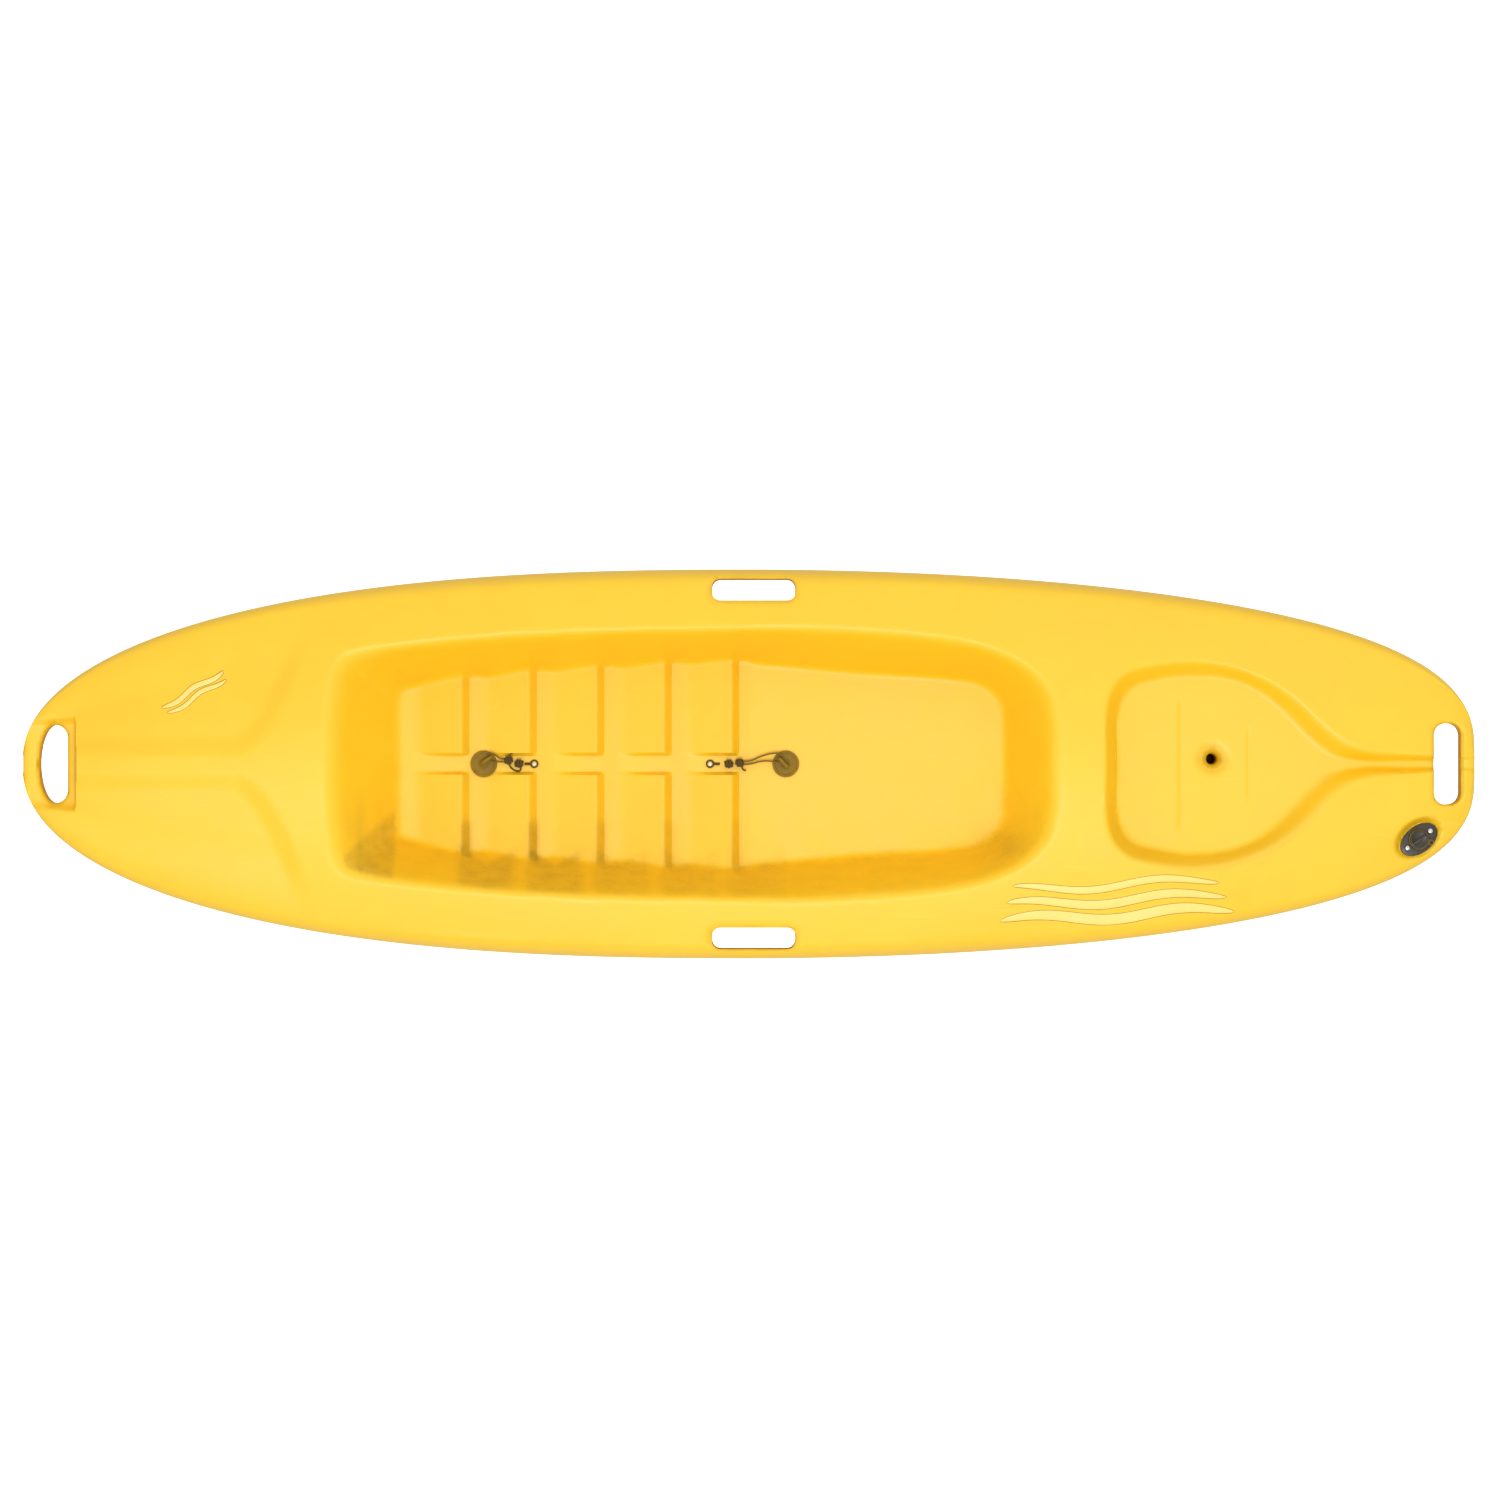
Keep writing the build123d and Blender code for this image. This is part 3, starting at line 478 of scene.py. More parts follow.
@dataclass(frozen=True)
class Finish:
    """A finish with mottled colour, fine grain and scuffs.

    Attributes:
        name: The material's name.
        light: Linear colour of its lighter patches.
        dark: Linear colour of its darker patches.
        scuffed: Linear colour of its scuff marks.
        roughness: Lowest and highest roughness.
        metallic: How metallic it is.
        mottle: Patches per metre.
        grain: Grain cells per metre.
        relief: Height of the grain in metres.
        coat: Clear gloss on top.
    """

    name: str
    light: tuple[float, float, float]
    dark: tuple[float, float, float]
    scuffed: tuple[float, float, float]
    roughness: tuple[float, float] = (0.4, 0.6)
    metallic: float = 0.0
    mottle: float = 40.0
    grain: float = 900.0
    relief: float = 0.0001
    coat: float = 0.0

    def begin(self) -> tuple[bpy.types.Material, NodeKit, bpy.types.Node]:
        """Makes the material with its shader's plain settings.

        Returns:
            The material, a kit for its nodes, and its Principled shader.
        """
        material = bpy.data.materials.new(self.name)
        material.use_nodes = True
        kit = NodeKit(material.node_tree)
        shader = material.node_tree.nodes["Principled BSDF"]
        shader.inputs["Metallic"].default_value = self.metallic
        shader.inputs["Coat Weight"].default_value = self.coat
        shader.inputs["Coat Roughness"].default_value = 0.25
        return material, kit, shader

    def mask(self, kit: NodeKit, grain: Grain, scale: float) -> bpy.types.NodeSocket:
        """Places a shared effect in a material at a scale."""
        group = kit.add("Group", {"node_tree": grain_group(grain)}, Scale=scale)
        return group.outputs["Mask"]

    def build(self) -> bpy.types.Material:
        """Builds the whole material."""
        material, kit, shader = self.begin()
        patches = kit.ramp(self.mask(kit, Grain.MOTTLE, self.mottle), 0.3, 0.7)
        marks = self.mask(kit, Grain.SCUFFS, self.mottle * 0.6)
        colour = kit.mix(patches, (*self.dark, 1.0), (*self.light, 1.0))
        colour = kit.mix(kit.math("MULTIPLY", marks, 0.6), colour, (*self.scuffed, 1.0))
        links = material.node_tree.links
        links.new(colour, shader.inputs["Base Color"])
        links.new(kit.ramp(patches, 0.0, 1.0, *self.roughness), shader.inputs["Roughness"])
        links.new(kit.bump(self.mask(kit, Grain.PEEL, self.grain), self.relief),
                  shader.inputs["Normal"])
        return material


@dataclass(frozen=True)
class MouldedYellow(Finish):
    """Rotationally moulded polyethylene, with painted shade in its corners and recesses, and some
    dirt.

    Attributes:
        dirt_and_shade: Linear colour of the dirt and of the painted shade.
        gloss: Strength of its reflections.
    """

    dirt_and_shade: tuple[float, float, float] = (0.45, 0.28, 0.0)
    gloss: float = 0.75

    def build(self) -> bpy.types.Material:
        """Builds the whole material, with dirt and painted shade where the mesh's attributes put
        them.
        """
        material, kit, shader = self.begin()
        links = material.node_tree.links
        patches = kit.ramp(self.mask(kit, Grain.MOTTLE, self.mottle), 0.25, 0.75)
        colour = kit.mix(patches, (*self.dark, 1.0), (*self.light, 1.0))
        marks = kit.math("MULTIPLY", self.mask(kit, Grain.SCUFFS, 9.0), 0.22)
        colour = kit.mix(marks, colour, (*self.scuffed, 1.0))
        # Painted shade from one attribute, and blotchy dirt mixed with painted shade from the other,
        # both in one olive colour.
        painted_shade = kit.add("Attribute", {"attribute_name": "painted_shade"}).outputs["Fac"]
        dirt_and_shade = kit.add("Attribute", {"attribute_name": "dirt_and_shade"}).outputs["Fac"]
        blotches = kit.ramp(self.mask(kit, Grain.MOTTLE, 38.0), 0.36, 0.70)
        dirt_and_painted_shade = kit.math("ADD", painted_shade, kit.math("MULTIPLY", dirt_and_shade, blotches))
        colour = kit.mix(dirt_and_painted_shade, colour, (*self.dirt_and_shade, 1.0))
        links.new(colour, shader.inputs["Base Color"])
        rough = kit.ramp(kit.math("ADD", patches, kit.math("MULTIPLY", dirt_and_painted_shade, 2.0)), 0.0, 1.6,
                         *self.roughness)
        links.new(rough, shader.inputs["Roughness"])
        shader.inputs["Specular IOR Level"].default_value = self.gloss
        links.new(kit.bump(self.mask(kit, Grain.PEEL, self.grain), self.relief),
                  shader.inputs["Normal"])
        return material


@dataclass(frozen=True)
class BraidedCord(Finish):
    """Braided cord, whose strands follow the cord's own length map.

    Attributes:
        strands: How many strand crossings there are to a metre of cord.
    """

    strands: float = 420.0

    def build(self) -> bpy.types.Material:
        """Builds the whole material, with painted shade in the braid's gaps and the braid in its
        relief.
        """
        material, kit, shader = self.begin()
        links = material.node_tree.links
        place = kit.add("UVMap", {"uv_map": "UVMap"}).outputs["UV"]
        parts = kit.add("SeparateXYZ", Vector=place)
        turn = kit.math("MULTIPLY", parts.outputs["X"], 2 * math.pi * 4)
        run = kit.math("MULTIPLY", parts.outputs["Y"], 2 * math.pi * self.strands)
        one = kit.math("SINE", kit.math("ADD", run, turn))
        other = kit.math("SINE", kit.math("SUBTRACT", run, turn))
        braid = kit.ramp(kit.math("MAXIMUM", one, other), -0.4, 1.0)
        fibres = self.mask(kit, Grain.MOTTLE, self.mottle)
        # Painted shade: the braid's gaps take the dark colour where its relief is low; the fibres
        # vary the tone at random.
        colour = kit.mix(kit.math("MULTIPLY", braid, fibres), (*self.dark, 1.0),
                         (*self.light, 1.0))
        links.new(colour, shader.inputs["Base Color"])
        links.new(kit.ramp(fibres, 0.3, 0.7, *self.roughness), shader.inputs["Roughness"])
        links.new(kit.bump(braid, self.relief), shader.inputs["Normal"])
        shader.inputs["Sheen Weight"].default_value = 0.08
        return material


@dataclass(frozen=True)
class Finishes:
    """Every finish of the kayak."""

    moulding: Finish = MouldedYellow("moulded_yellow", (0.98, 0.595, 0.007), (0.94, 0.560, 0.004),
                                     (0.98, 0.68, 0.08), (0.42, 0.60), mottle=6.0, grain=650.0,
                                     relief=0.00012)
    graphic: Finish = Finish("pale_graphic", (1.0, 0.76, 0.22), (0.97, 0.71, 0.17),
                             (0.85, 0.55, 0.10), (0.35, 0.5), mottle=14.0, grain=650.0)
    graphic_edge: Finish = Finish("graphic_outline", (0.55, 0.33, 0.01), (0.42, 0.24, 0.0),
                                  (0.7, 0.45, 0.05), (0.4, 0.55), mottle=20.0, grain=650.0)
    bung: Finish = Finish("olive_rubber", (0.30, 0.185, 0.001), (0.21, 0.125, 0.001),
                          (0.30, 0.20, 0.01), (0.62, 0.82), mottle=90.0, grain=1800.0,
                          relief=0.00006)
    # In the two cords the dark colour is also the painted shade in the braid's gaps.
    cord: Finish = BraidedCord("olive_cord", (0.34, 0.22, 0.02), (0.13, 0.08, 0.004),
                               (0.3, 0.2, 0.03), (0.7, 0.9), mottle=900.0, relief=0.00025)
    knots: Finish = BraidedCord("dark_knotted_cord", (0.17, 0.105, 0.010), (0.045, 0.028, 0.002),
                                (0.2, 0.13, 0.02), (0.7, 0.9), mottle=900.0, relief=0.00025)
    whipping: Finish = Finish("dark_whipping", (0.10, 0.065, 0.004), (0.045, 0.03, 0.002),
                              (0.2, 0.13, 0.02), (0.5, 0.75), mottle=400.0, grain=5000.0,
                              relief=0.00008)
    rivet: Finish = Finish("satin_aluminium", (0.80, 0.72, 0.48), (0.62, 0.54, 0.34),
                           (0.45, 0.38, 0.22), (0.22, 0.42), 1.0, mottle=350.0, grain=6000.0,
                           relief=0.00002)
    steel: Finish = Finish("bright_steel", (0.78, 0.77, 0.76), (0.60, 0.59, 0.57),
                           (0.40, 0.34, 0.26), (0.16, 0.36), 1.0, mottle=420.0, grain=7000.0,
                           relief=0.00001)
    seal: Finish = Finish("black_rubber", (0.035, 0.034, 0.032), (0.018, 0.018, 0.017),
                          (0.09, 0.085, 0.075), (0.55, 0.75), mottle=160.0, grain=2500.0,
                          relief=0.00004)
    drain: Finish = Finish("dark_moulded_plastic", (0.040, 0.030, 0.012), (0.018, 0.014, 0.007),
                           (0.12, 0.09, 0.05), (0.3, 0.5), mottle=120.0, grain=2600.0,
                           relief=0.00003, coat=0.2)
    leash: Finish = Finish("brown_rubber", (0.26, 0.16, 0.02), (0.15, 0.09, 0.01),
                           (0.34, 0.24, 0.08), (0.45, 0.65), mottle=150.0, grain=2500.0,
                           relief=0.00004)
    foam: Finish = Finish("closed_cell_foam", (0.80, 0.80, 0.77), (0.68, 0.68, 0.64),
                          (0.55, 0.55, 0.50), (0.8, 0.95), mottle=60.0, grain=420.0,
                          relief=0.0006)
    floor: Finish = Finish("pale_studio_floor", (0.66, 0.66, 0.66), (0.64, 0.64, 0.64),
                           (0.64, 0.64, 0.64), (0.85, 0.95), mottle=1.5, grain=300.0,
                           relief=0.0)

    def shared(self, name: str) -> bpy.types.Material:
        """The material of a finish, built when it is first asked for."""
        finish = getattr(self, name)
        return bpy.data.materials.get(finish.name) or finish.build()


# ------------------------------------------------------------------------------ the moulding


@dataclass
class KayakForm:
    """The moulding's form: its outline, its sections and every hollow in them.

    Attributes:
        beam: Greatest width.
        edge_round: Radius that the two ends are rounded over.
        cockpit_floor: Half outline of the cockpit floor, from its front to its rear.
        cockpit_rim: Half outline of the cockpit's rim at rim_z.
        tank_floor: Half outline of the tank well's floor, with its drain channel.
        tank_rim: Half outline of the tank well's rim.
        raised: Half outline of the spine and coaming, which stand above the foredeck panels.
        step_faces: Where the middle of each heel step's steep face is.
        stern_slot: Centre, size and corner radius of the hand slot at the stern.
        side_slot: The same of the hand slot in the port gunwale.
    """

    beam: float = 0.536
    edge_round: float = 0.008
    floor_z: float = 0.055
    rim_z: float = 0.185
    tank_floor_z: float = 0.148
    tank_rim_z: float = 0.188
    ledge_z: float = 0.152
    pad_z: float = 0.141
    pad: tuple[float, float, float] = (-0.923, 0.104, 37.0)
    pad_size: Flat = (0.031, 0.0205)
    panel_drop: float = 0.008
    rail: tuple[float, float, float] = (0.085, 1.0, 0.036)
    step_faces: tuple[float, ...] = (0.393, 0.2994, 0.2058, 0.1122, 0.0186)
    step_height: float = 0.016
    step_run: float = 0.010
    ramp_run: float = 0.062
    channel_half: float = 0.0125
    scribes: tuple[tuple[float, float], ...] = ((-0.593, 0.095), (-0.688, 0.052))
    scuppers: tuple[float, float] = (0.368, -0.051)
    stern_slot: tuple[Flat, Flat, float] = ((-0.962, 0.0), (0.038, 0.112), 0.016)
    side_slot: tuple[Flat, Flat, float] = ((-0.0065, 0.240), (0.115, 0.030), 0.0115)
    seat_radius: float = 0.0205
    cockpit_floor: tuple[Flat, ...] = (
        (0.487, 0.0), (0.487, 0.088), (0.484, 0.100), (0.470, 0.107), (0.300, 0.127),
        (0.150, 0.136), (0.010, 0.141), (-0.150, 0.128), (-0.290, 0.115), (-0.322, 0.107),
        (-0.345, 0.084), (-0.350, 0.055), (-0.350, 0.0))
    cockpit_rim: tuple[Flat, ...] = (
        (0.560, 0.0), (0.560, 0.122), (0.553, 0.142), (0.535, 0.150), (0.371, 0.171),
        (0.200, 0.180), (0.050, 0.183), (-0.075, 0.184), (-0.235, 0.174), (-0.318, 0.159),
        (-0.374, 0.132), (-0.402, 0.098), (-0.408, 0.066), (-0.408, 0.0))
    tank_floor: tuple[Flat, ...] = (
        (-0.507, 0.0), (-0.507, 0.066), (-0.517, 0.096), (-0.534, 0.110), (-0.560, 0.117),
        (-0.608, 0.123), (-0.663, 0.118), (-0.704, 0.101), (-0.738, 0.074), (-0.775, 0.037),
        (-0.804, 0.015), (-0.841, 0.0058), (-0.900, 0.0052), (-0.962, 0.0052),
        (-1.010, 0.0052), (-1.010, 0.0))
    tank_rim: tuple[Flat, ...] = (
        (-0.494, 0.0), (-0.494, 0.082), (-0.503, 0.110), (-0.522, 0.130), (-0.553, 0.140),
        (-0.608, 0.149), (-0.663, 0.143), (-0.719, 0.122), (-0.756, 0.098), (-0.789, 0.065),
        (-0.819, 0.040), (-0.848, 0.027), (-0.900, 0.0235), (-0.962, 0.0200),
        (-1.030, 0.0185), (-1.030, 0.0))
    raised: tuple[Flat, ...] = (
        (0.927, 0.0), (0.927, 0.011), (0.900, 0.0125), (0.720, 0.0130), (0.697, 0.0145),
        (0.671, 0.033), (0.640, 0.081), (0.619, 0.130), (0.602, 0.185), (0.570, 0.262),
        (0.300, 0.330), (-0.200, 0.330), (-0.200, 0.0))

    def half_beam(self, x: Array) -> Array:
        """Half-width of the outline at x."""
        bow = (1.0 - (np.abs(x) / 1.0017) ** 2.5) ** (1 / 2.15)
        stern = (1.0 - (np.abs(x) / 1.003) ** 2.0) ** (1 / 2.9)
        return self.beam / 2 * np.where(x >= 0, bow, stern)

    def bottom(self, x: Array) -> Array:
        """Height of the flat of the bottom at x."""
        run = np.clip((np.abs(x) - 0.45) / 0.55, 0.0, None)
        return 0.008 + np.where(x >= 0, 0.100 * run**2.3, 0.085 * run**2.2)

    def gunwale(self, x: Array) -> Array:
        """Height of the widest line at x."""
        return 0.112 + np.where(x >= 0, 0.030, 0.008) * x**2

    def shoulder(self, x: Array) -> Array:
        """Height at which the side turns into the deck at x."""
        return 0.160 - np.where(x >= 0, 0.004, 0.020) * x**2

    def crown(self, x: Array) -> Array:
        """Height of the deck on the centre line at x."""
        return 0.204 - np.where(x >= 0, 0.036 * x**6, 0.054 * np.abs(x) ** 3)

    def end_inset(self, x: Array) -> Array:
        """How far the section is drawn in at x, which rounds off the two ends."""
        past = np.clip(self.edge_round - (1.0 - np.abs(x)), 0.0, self.edge_round)
        return self.edge_round - np.sqrt(self.edge_round**2 - past**2)

    def floor_height(self, x: Array, y: Array) -> Array:
        """Height of the cockpit floor, with its heel steps and the rise of its seat."""
        height = np.zeros(x.shape)
        for face in self.step_faces:
            along = x - face + self.step_run / 2
            face_rise = self.step_height * along / self.step_run
            ramp = self.step_height * (1.0 - (along - self.step_run) / self.ramp_run)
            height = np.maximum(height, soft_min(face_rise, ramp, 0.0045))
        height = soft_max(height, 0.0 * height, 0.002) - 0.0005
        beside = ease(self.channel_half - 0.0008, self.channel_half + 0.0022, np.abs(y))
        around = np.hypot(x - self.scuppers[0], y)
        beside = beside * ease(self.seat_radius - 0.0005, self.seat_radius + 0.003, around)
        rise = soft_max(0.012 * (-0.136 - x) / 0.214, 0.0 * x, 0.0008)
        return self.floor_z + height * beside + rise

    def valley(self, x: Array) -> Array:
        """Share, from 0 to 1, of the low groove in front of each step's face at x."""
        share = np.zeros(x.shape)
        for face in self.step_faces:
            share = np.maximum(share, ease(0.018, 0.004, np.abs(x - face + 0.013)))
        return share

    def cockpit(self, x: Array, y: Array) -> tuple[Array, Array]:
        """Signed distances to the cockpit's floor outline and to its rim outline."""
        to_floor = distance_outside(x, y, mirrored_outline(self.cockpit_floor))
        to_rim = distance_outside(x, y, mirrored_outline(self.cockpit_rim))
        return to_floor - 0.004 * self.valley(x), to_rim

    def tank(self, x: Array, y: Array) -> tuple[Array, Array]:
        """Signed distances to the tank well's floor outline and to its rim outline."""
        return (distance_outside(x, y, mirrored_outline(self.tank_floor)),
                distance_outside(x, y, mirrored_outline(self.tank_rim)))

    def slot_distance(self, x: Array, y: Array) -> Array:
        """Signed distance to the nearest of the four hand slots."""
        inner = rounded_box(x, y, (0.956, 0.0), (0.036, 0.108), 0.018)
        outer = (np.hypot((x - 0.956) / 0.022, y / 0.054) - 1.0) * 0.022
        bow = np.where(x < 0.956, inner, outer)
        stern = rounded_box(x, y, *self.stern_slot)
        sides = rounded_box(x, np.abs(y), *self.side_slot)
        return np.minimum(np.minimum(bow, stern), sides)

    def lip(self, x: Array, y: Array, radius: float) -> Array:
        """How far the skin turns down towards a slot's edge, over that radius."""
        reach = np.clip(radius - np.clip(self.slot_distance(x, y), 0.0, None), 0.0, None)
        return radius - np.sqrt(radius**2 - reach**2)

    def top(self, x: Array, y: Array) -> Array:
        """Height of the upper surface at a place within the shoulders.

        Args:
            x: Places' x, flat array.
            y: Their y.

        Returns:
            Their heights.
        """
        edge = 0.925 * self.half_beam(x)
        crown = self.crown(x)
        height = crown - (crown - self.shoulder(x)) * (y / edge) ** 2
        height = height + 0.0004 * np.sin(9.1 * x + 1.3) * np.cos(21.0 * y - 0.6 + 3.0 * x)
        height = height + 0.0003 * np.sin(23.0 * x - 17.0 * y)
        fade = 1.0 - ease(0.55, 1.0, np.abs(y) / edge)
        beyond = distance_outside(x, y, mirrored_outline(self.raised))
        height = height - self.panel_drop * ease(-0.004, 0.027, beyond) * np.where(x > 0, fade, 0.0)
        height = self.shelve(x, y, height)
        to_floor, to_rim = self.cockpit(x, y)
        slope = to_floor / np.maximum(to_floor - to_rim, 0.01)
        wall = self.floor_z + (self.rim_z - self.floor_z) * slope
        ripple = 0.0012 * np.sin(x * 2 * math.pi / 0.0936 + 1.9) * ease(0.0, 0.015, to_floor)
        wall = wall + np.where((x > 0.03) & (x < 0.42), ripple, 0.0)
        well = soft_max(self.floor_height(x, y), wall, 0.014)
        height = np.where(to_rim < 0.05, soft_min(height, well, 0.030), height)
        to_floor, to_rim = self.tank(x, y)
        slope = to_floor / np.maximum(to_floor - to_rim, 0.005)
        wall = self.tank_floor_z + (self.tank_rim_z - self.tank_floor_z) * slope
        well = soft_max(self.tank_floor_z + 0.0 * x, wall, 0.0055)
        height = np.where(to_rim < 0.03, soft_min(height, well, 0.0075), height)
        for place, half in self.scribes:
            groove = np.exp(-(((x - place) / 0.0022) ** 2)) * (1 - ease(half - 0.01, half, np.abs(y)))
            height = height - 0.0013 * groove
        halo = np.hypot(x + 0.638, y + 0.007)
        height = height - 0.004 * ease(0.024, 0.0135, halo)
        return self.pad_recess(x, y, height)

    def pad_recess(self, x: Array, y: Array, height: Array) -> Array:
        """Sinks the drain fitting's oval pad into a surface."""
        turn = math.radians(self.pad[2])
        dx, dy = x - self.pad[0], y - self.pad[1]
        along = (dx * math.cos(turn) + dy * math.sin(turn)) / self.pad_size[0]
        aside = (dy * math.cos(turn) - dx * math.sin(turn)) / self.pad_size[1]
        outside = (np.hypot(along, aside) - 1.0) * self.pad_size[1]
        pad = self.pad_z + 2.2 * np.clip(outside, 0.0, None)
        return np.where(outside < 0.02, soft_min(height, pad, 0.0035), height)

    def shelve(self, x: Array, y: Array, height: Array) -> Array:
        """Lowers the bow to its ledge, which fades out towards the gunwales."""
        ledge = self.ledge_z + 0.05 * ease(0.929, 0.921, x) + 0.02 * ease(0.052, 0.075, np.abs(y))
        return np.where(x > 0.9, soft_min(height, ledge, 0.003), height)

    def underside(self, x: Array, y: Array, height: Array) -> Array:
        """Bottom skin with its two keel rails and the slots' lips worked in."""
        rail_y, length, width = self.rail
        beside = np.abs(y) - rail_y
        past = np.clip(np.abs(x) - (length - width) / 2, 0.0, None)
        outside = np.hypot(past, beside) - width / 2
        height = height * (1.0 - ease(0.0015, -0.0035, outside))
        return height + self.lip(x, y, 0.005)


@dataclass
class Moulding:
    """The yellow moulding, made as one closed skin over its form.

    Attributes:
        form: The shape it follows.
        lip_radius: Rounding of the slots' upper edges.
        ridge: How far the parting line stands out.
        step_end_shade: How much painted shade lies on the port end of each heel step, from the bow.
    """

    form: KayakForm
    lip_radius: float = 0.006
    ridge: float = 0.0007
    step_end_shade: tuple[float, ...] = (1.0, 1.0, 0.6, 0.45, 0.35)

    def stations(self) -> Array:
        """Places of the cross-sections, closest where the form turns most."""
        ends = [0.0, 0.0003, 0.0010, 0.0022, 0.0040, 0.0060]
        steps = []
        for face in reversed(self.form.step_faces):
            steps += [(face - 0.0225, face - 0.007, 0.0052), (face - 0.007, face + 0.009, 0.002),
                      (face + 0.009, face + 0.0711, 0.0078)]
        runs = [(-0.992, -0.938, 0.0036), (-0.938, -0.885, 0.0036), (-0.885, -0.800, 0.006),
                (-0.800, -0.700, 0.005), (-0.700, -0.676, 0.0018), (-0.676, -0.606, 0.006),
                (-0.606, -0.580, 0.0018), (-0.580, -0.515, 0.005), (-0.515, -0.485, 0.0028),
                (-0.485, -0.420, 0.007), (-0.420, -0.340, 0.0038), (-0.340, -0.145, 0.0065),
                (-0.145, -0.127, 0.003), (-0.127, -0.0039, 0.0056), *steps,
                (0.4641, 0.575, 0.0035), (0.575, 0.710, 0.0045), (0.710, 0.915, 0.0075),
                (0.915, 0.932, 0.0017), (0.932, 0.992, 0.0036)]
        ends = np.array(ends)
        return np.concatenate([ends - 1.0, spaced_lines(runs), 1.0 - ends[::-1]])

    def ring(self) -> tuple[Array, Array, Array]:
        """Places across a section.

        Returns:
            Shares of the deck's half-width from port to starboard, shares along a shoulder or a
            bilge curve, and shares of the flat bottom from starboard to port.
        """
        half = spaced_lines([(0.0, 0.072, 0.009), (0.072, 0.37, 0.0245), (0.37, 0.765, 0.0128),
                             (0.765, 1.0, 0.0195)])
        deck = np.concatenate([-half[:0:-1], half])[::-1]
        rail = spaced_lines([(0.0, 0.39, 0.1), (0.39, 0.445, 0.011), (0.445, 0.61, 0.06),
                             (0.61, 0.665, 0.011), (0.665, 1.0, 0.11)])
        return deck, np.linspace(0.0, 1.0, 11)[1:], np.concatenate([-rail[:0:-1], rail])

    def section_grid(self) -> Array:
        """Vertices of every section, each a ring from port shoulder over the deck and back."""
        form, (deck, turn, flat) = self.form, self.ring()
        x = self.stations()[:, None]
        inset = form.end_inset(x)
        half, low, side = form.half_beam(x) - inset, form.bottom(x) + inset, form.gunwale(x)
        squeeze = half / form.half_beam(x)
        edge_y, edge_z = 0.925 * half, form.shoulder(x) - inset
        slope = 2 * (form.crown(x) - inset - edge_z) / edge_y
        reach = 0.6 * (half - edge_y)
        flat_y = 0.6 * half

        rise_y, rise_z = bezier(((half, side), (half, side + 0.6 * (edge_z - side)),
                                 (edge_y + reach, edge_z - reach * slope), (edge_y, edge_z)),
                                turn[None, :])
        bilge_y, bilge_z = bezier(((flat_y, low), (flat_y + 0.6 * (half - flat_y), low),
                                   (half, side - 0.62 * (side - low)), (half, side)),
                                  turn[None, :])
        deck_y = edge_y * deck[None, :]
        wide_x, wide_y = np.broadcast_to(x, deck_y.shape), deck_y / squeeze
        deck_z = form.top(wide_x.ravel(), wide_y.ravel()).reshape(deck_y.shape) - inset
        lip = form.lip(wide_x.ravel(), wide_y.ravel(), self.lip_radius).reshape(deck_y.shape)
        deck_z = deck_z - np.where(form.slot_distance(wide_x, wide_y) < 0.03, lip, 0.0)

        side_x = np.broadcast_to(x, rise_y.shape)
        rise_z = form.shelve(side_x, rise_y, rise_z)
        rise_z = rise_z - form.lip(side_x, rise_y, self.lip_radius)
        under_y = flat_y * flat[None, :]
        under_x = np.broadcast_to(x, under_y.shape)
        under_z = form.underside(under_x, under_y, np.broadcast_to(low, under_y.shape))
        bilge_z = bilge_z + form.lip(side_x, bilge_y, 0.005)
        rise_y, bilge_y = rise_y.copy(), bilge_y.copy()
        bilge_y[:, -1] += self.ridge * squeeze[:, 0]

        port_rise, port_bilge = (rise_y, rise_z), (bilge_y, bilge_z)
        y = np.hstack([port_bilge[0][:, -1:], port_rise[0], deck_y[:, 1:],
                       -rise_y[:, -2::-1], -bilge_y[:, ::-1], under_y, bilge_y])
        z = np.hstack([port_bilge[1][:, -1:], port_rise[1], deck_z[:, 1:],
                       rise_z[:, -2::-1], bilge_z[:, ::-1], under_z, bilge_z])
        return np.stack([np.broadcast_to(x, y.shape), y, z], axis=-1)

    def cutters(self) -> list[bpy.types.Object]:
        """Solids of the four slots, the two scupper bores and the kiss-off pit."""
        form, turns = self.form, np.linspace(-math.pi / 2, math.pi / 2, 33)
        bow = [(0.956 + 0.022 * math.cos(t), 0.054 * math.sin(t)) for t in turns]
        for side in (1, -1):
            corner = [(0.956 - 0.018 * math.sin(t), side * (0.036 + 0.018 * math.cos(t)))
                      for t in np.linspace(0, math.pi / 2, 9)]
            bow += corner[1:] if side > 0 else corner[:0:-1]
        pieces = [prism(np.array(bow), -0.02, 0.24)]
        (slot_x, slot_y), slot_size, slot_radius = form.side_slot
        starboard = ((slot_x, -slot_y), slot_size, slot_radius)
        for centre, size, radius in (form.stern_slot, form.side_slot, starboard):
            outline = []
            for quarter in range(4):
                sx, sy = ((1, 1), (-1, 1), (-1, -1), (1, -1))[quarter]
                for t in np.linspace(0, math.pi / 2, 9) + quarter * math.pi / 2:
                    outline.append((centre[0] + sx * (size[0] / 2 - radius) + radius * math.cos(t),
                                    centre[1] + sy * (size[1] / 2 - radius) + radius * math.sin(t)))
            pieces.append(prism(np.array(outline), -0.02, 0.24))
        for x in form.scuppers:
            pieces.append(lathe((x, 0.0, 0.0), [(0.0185, -0.01), (0.0185, 0.0065), (0.015, 0.0105),
                                                (0.015, 0.062)], 48))
        pieces.append(lathe((-0.638, -0.007, 0.0), [(0.006, 0.028), (0.008, 0.136),
                                                    (0.0105, 0.1405), (0.014, 0.1445),
                                                    (0.016, 0.156)], 40))
        return pieces

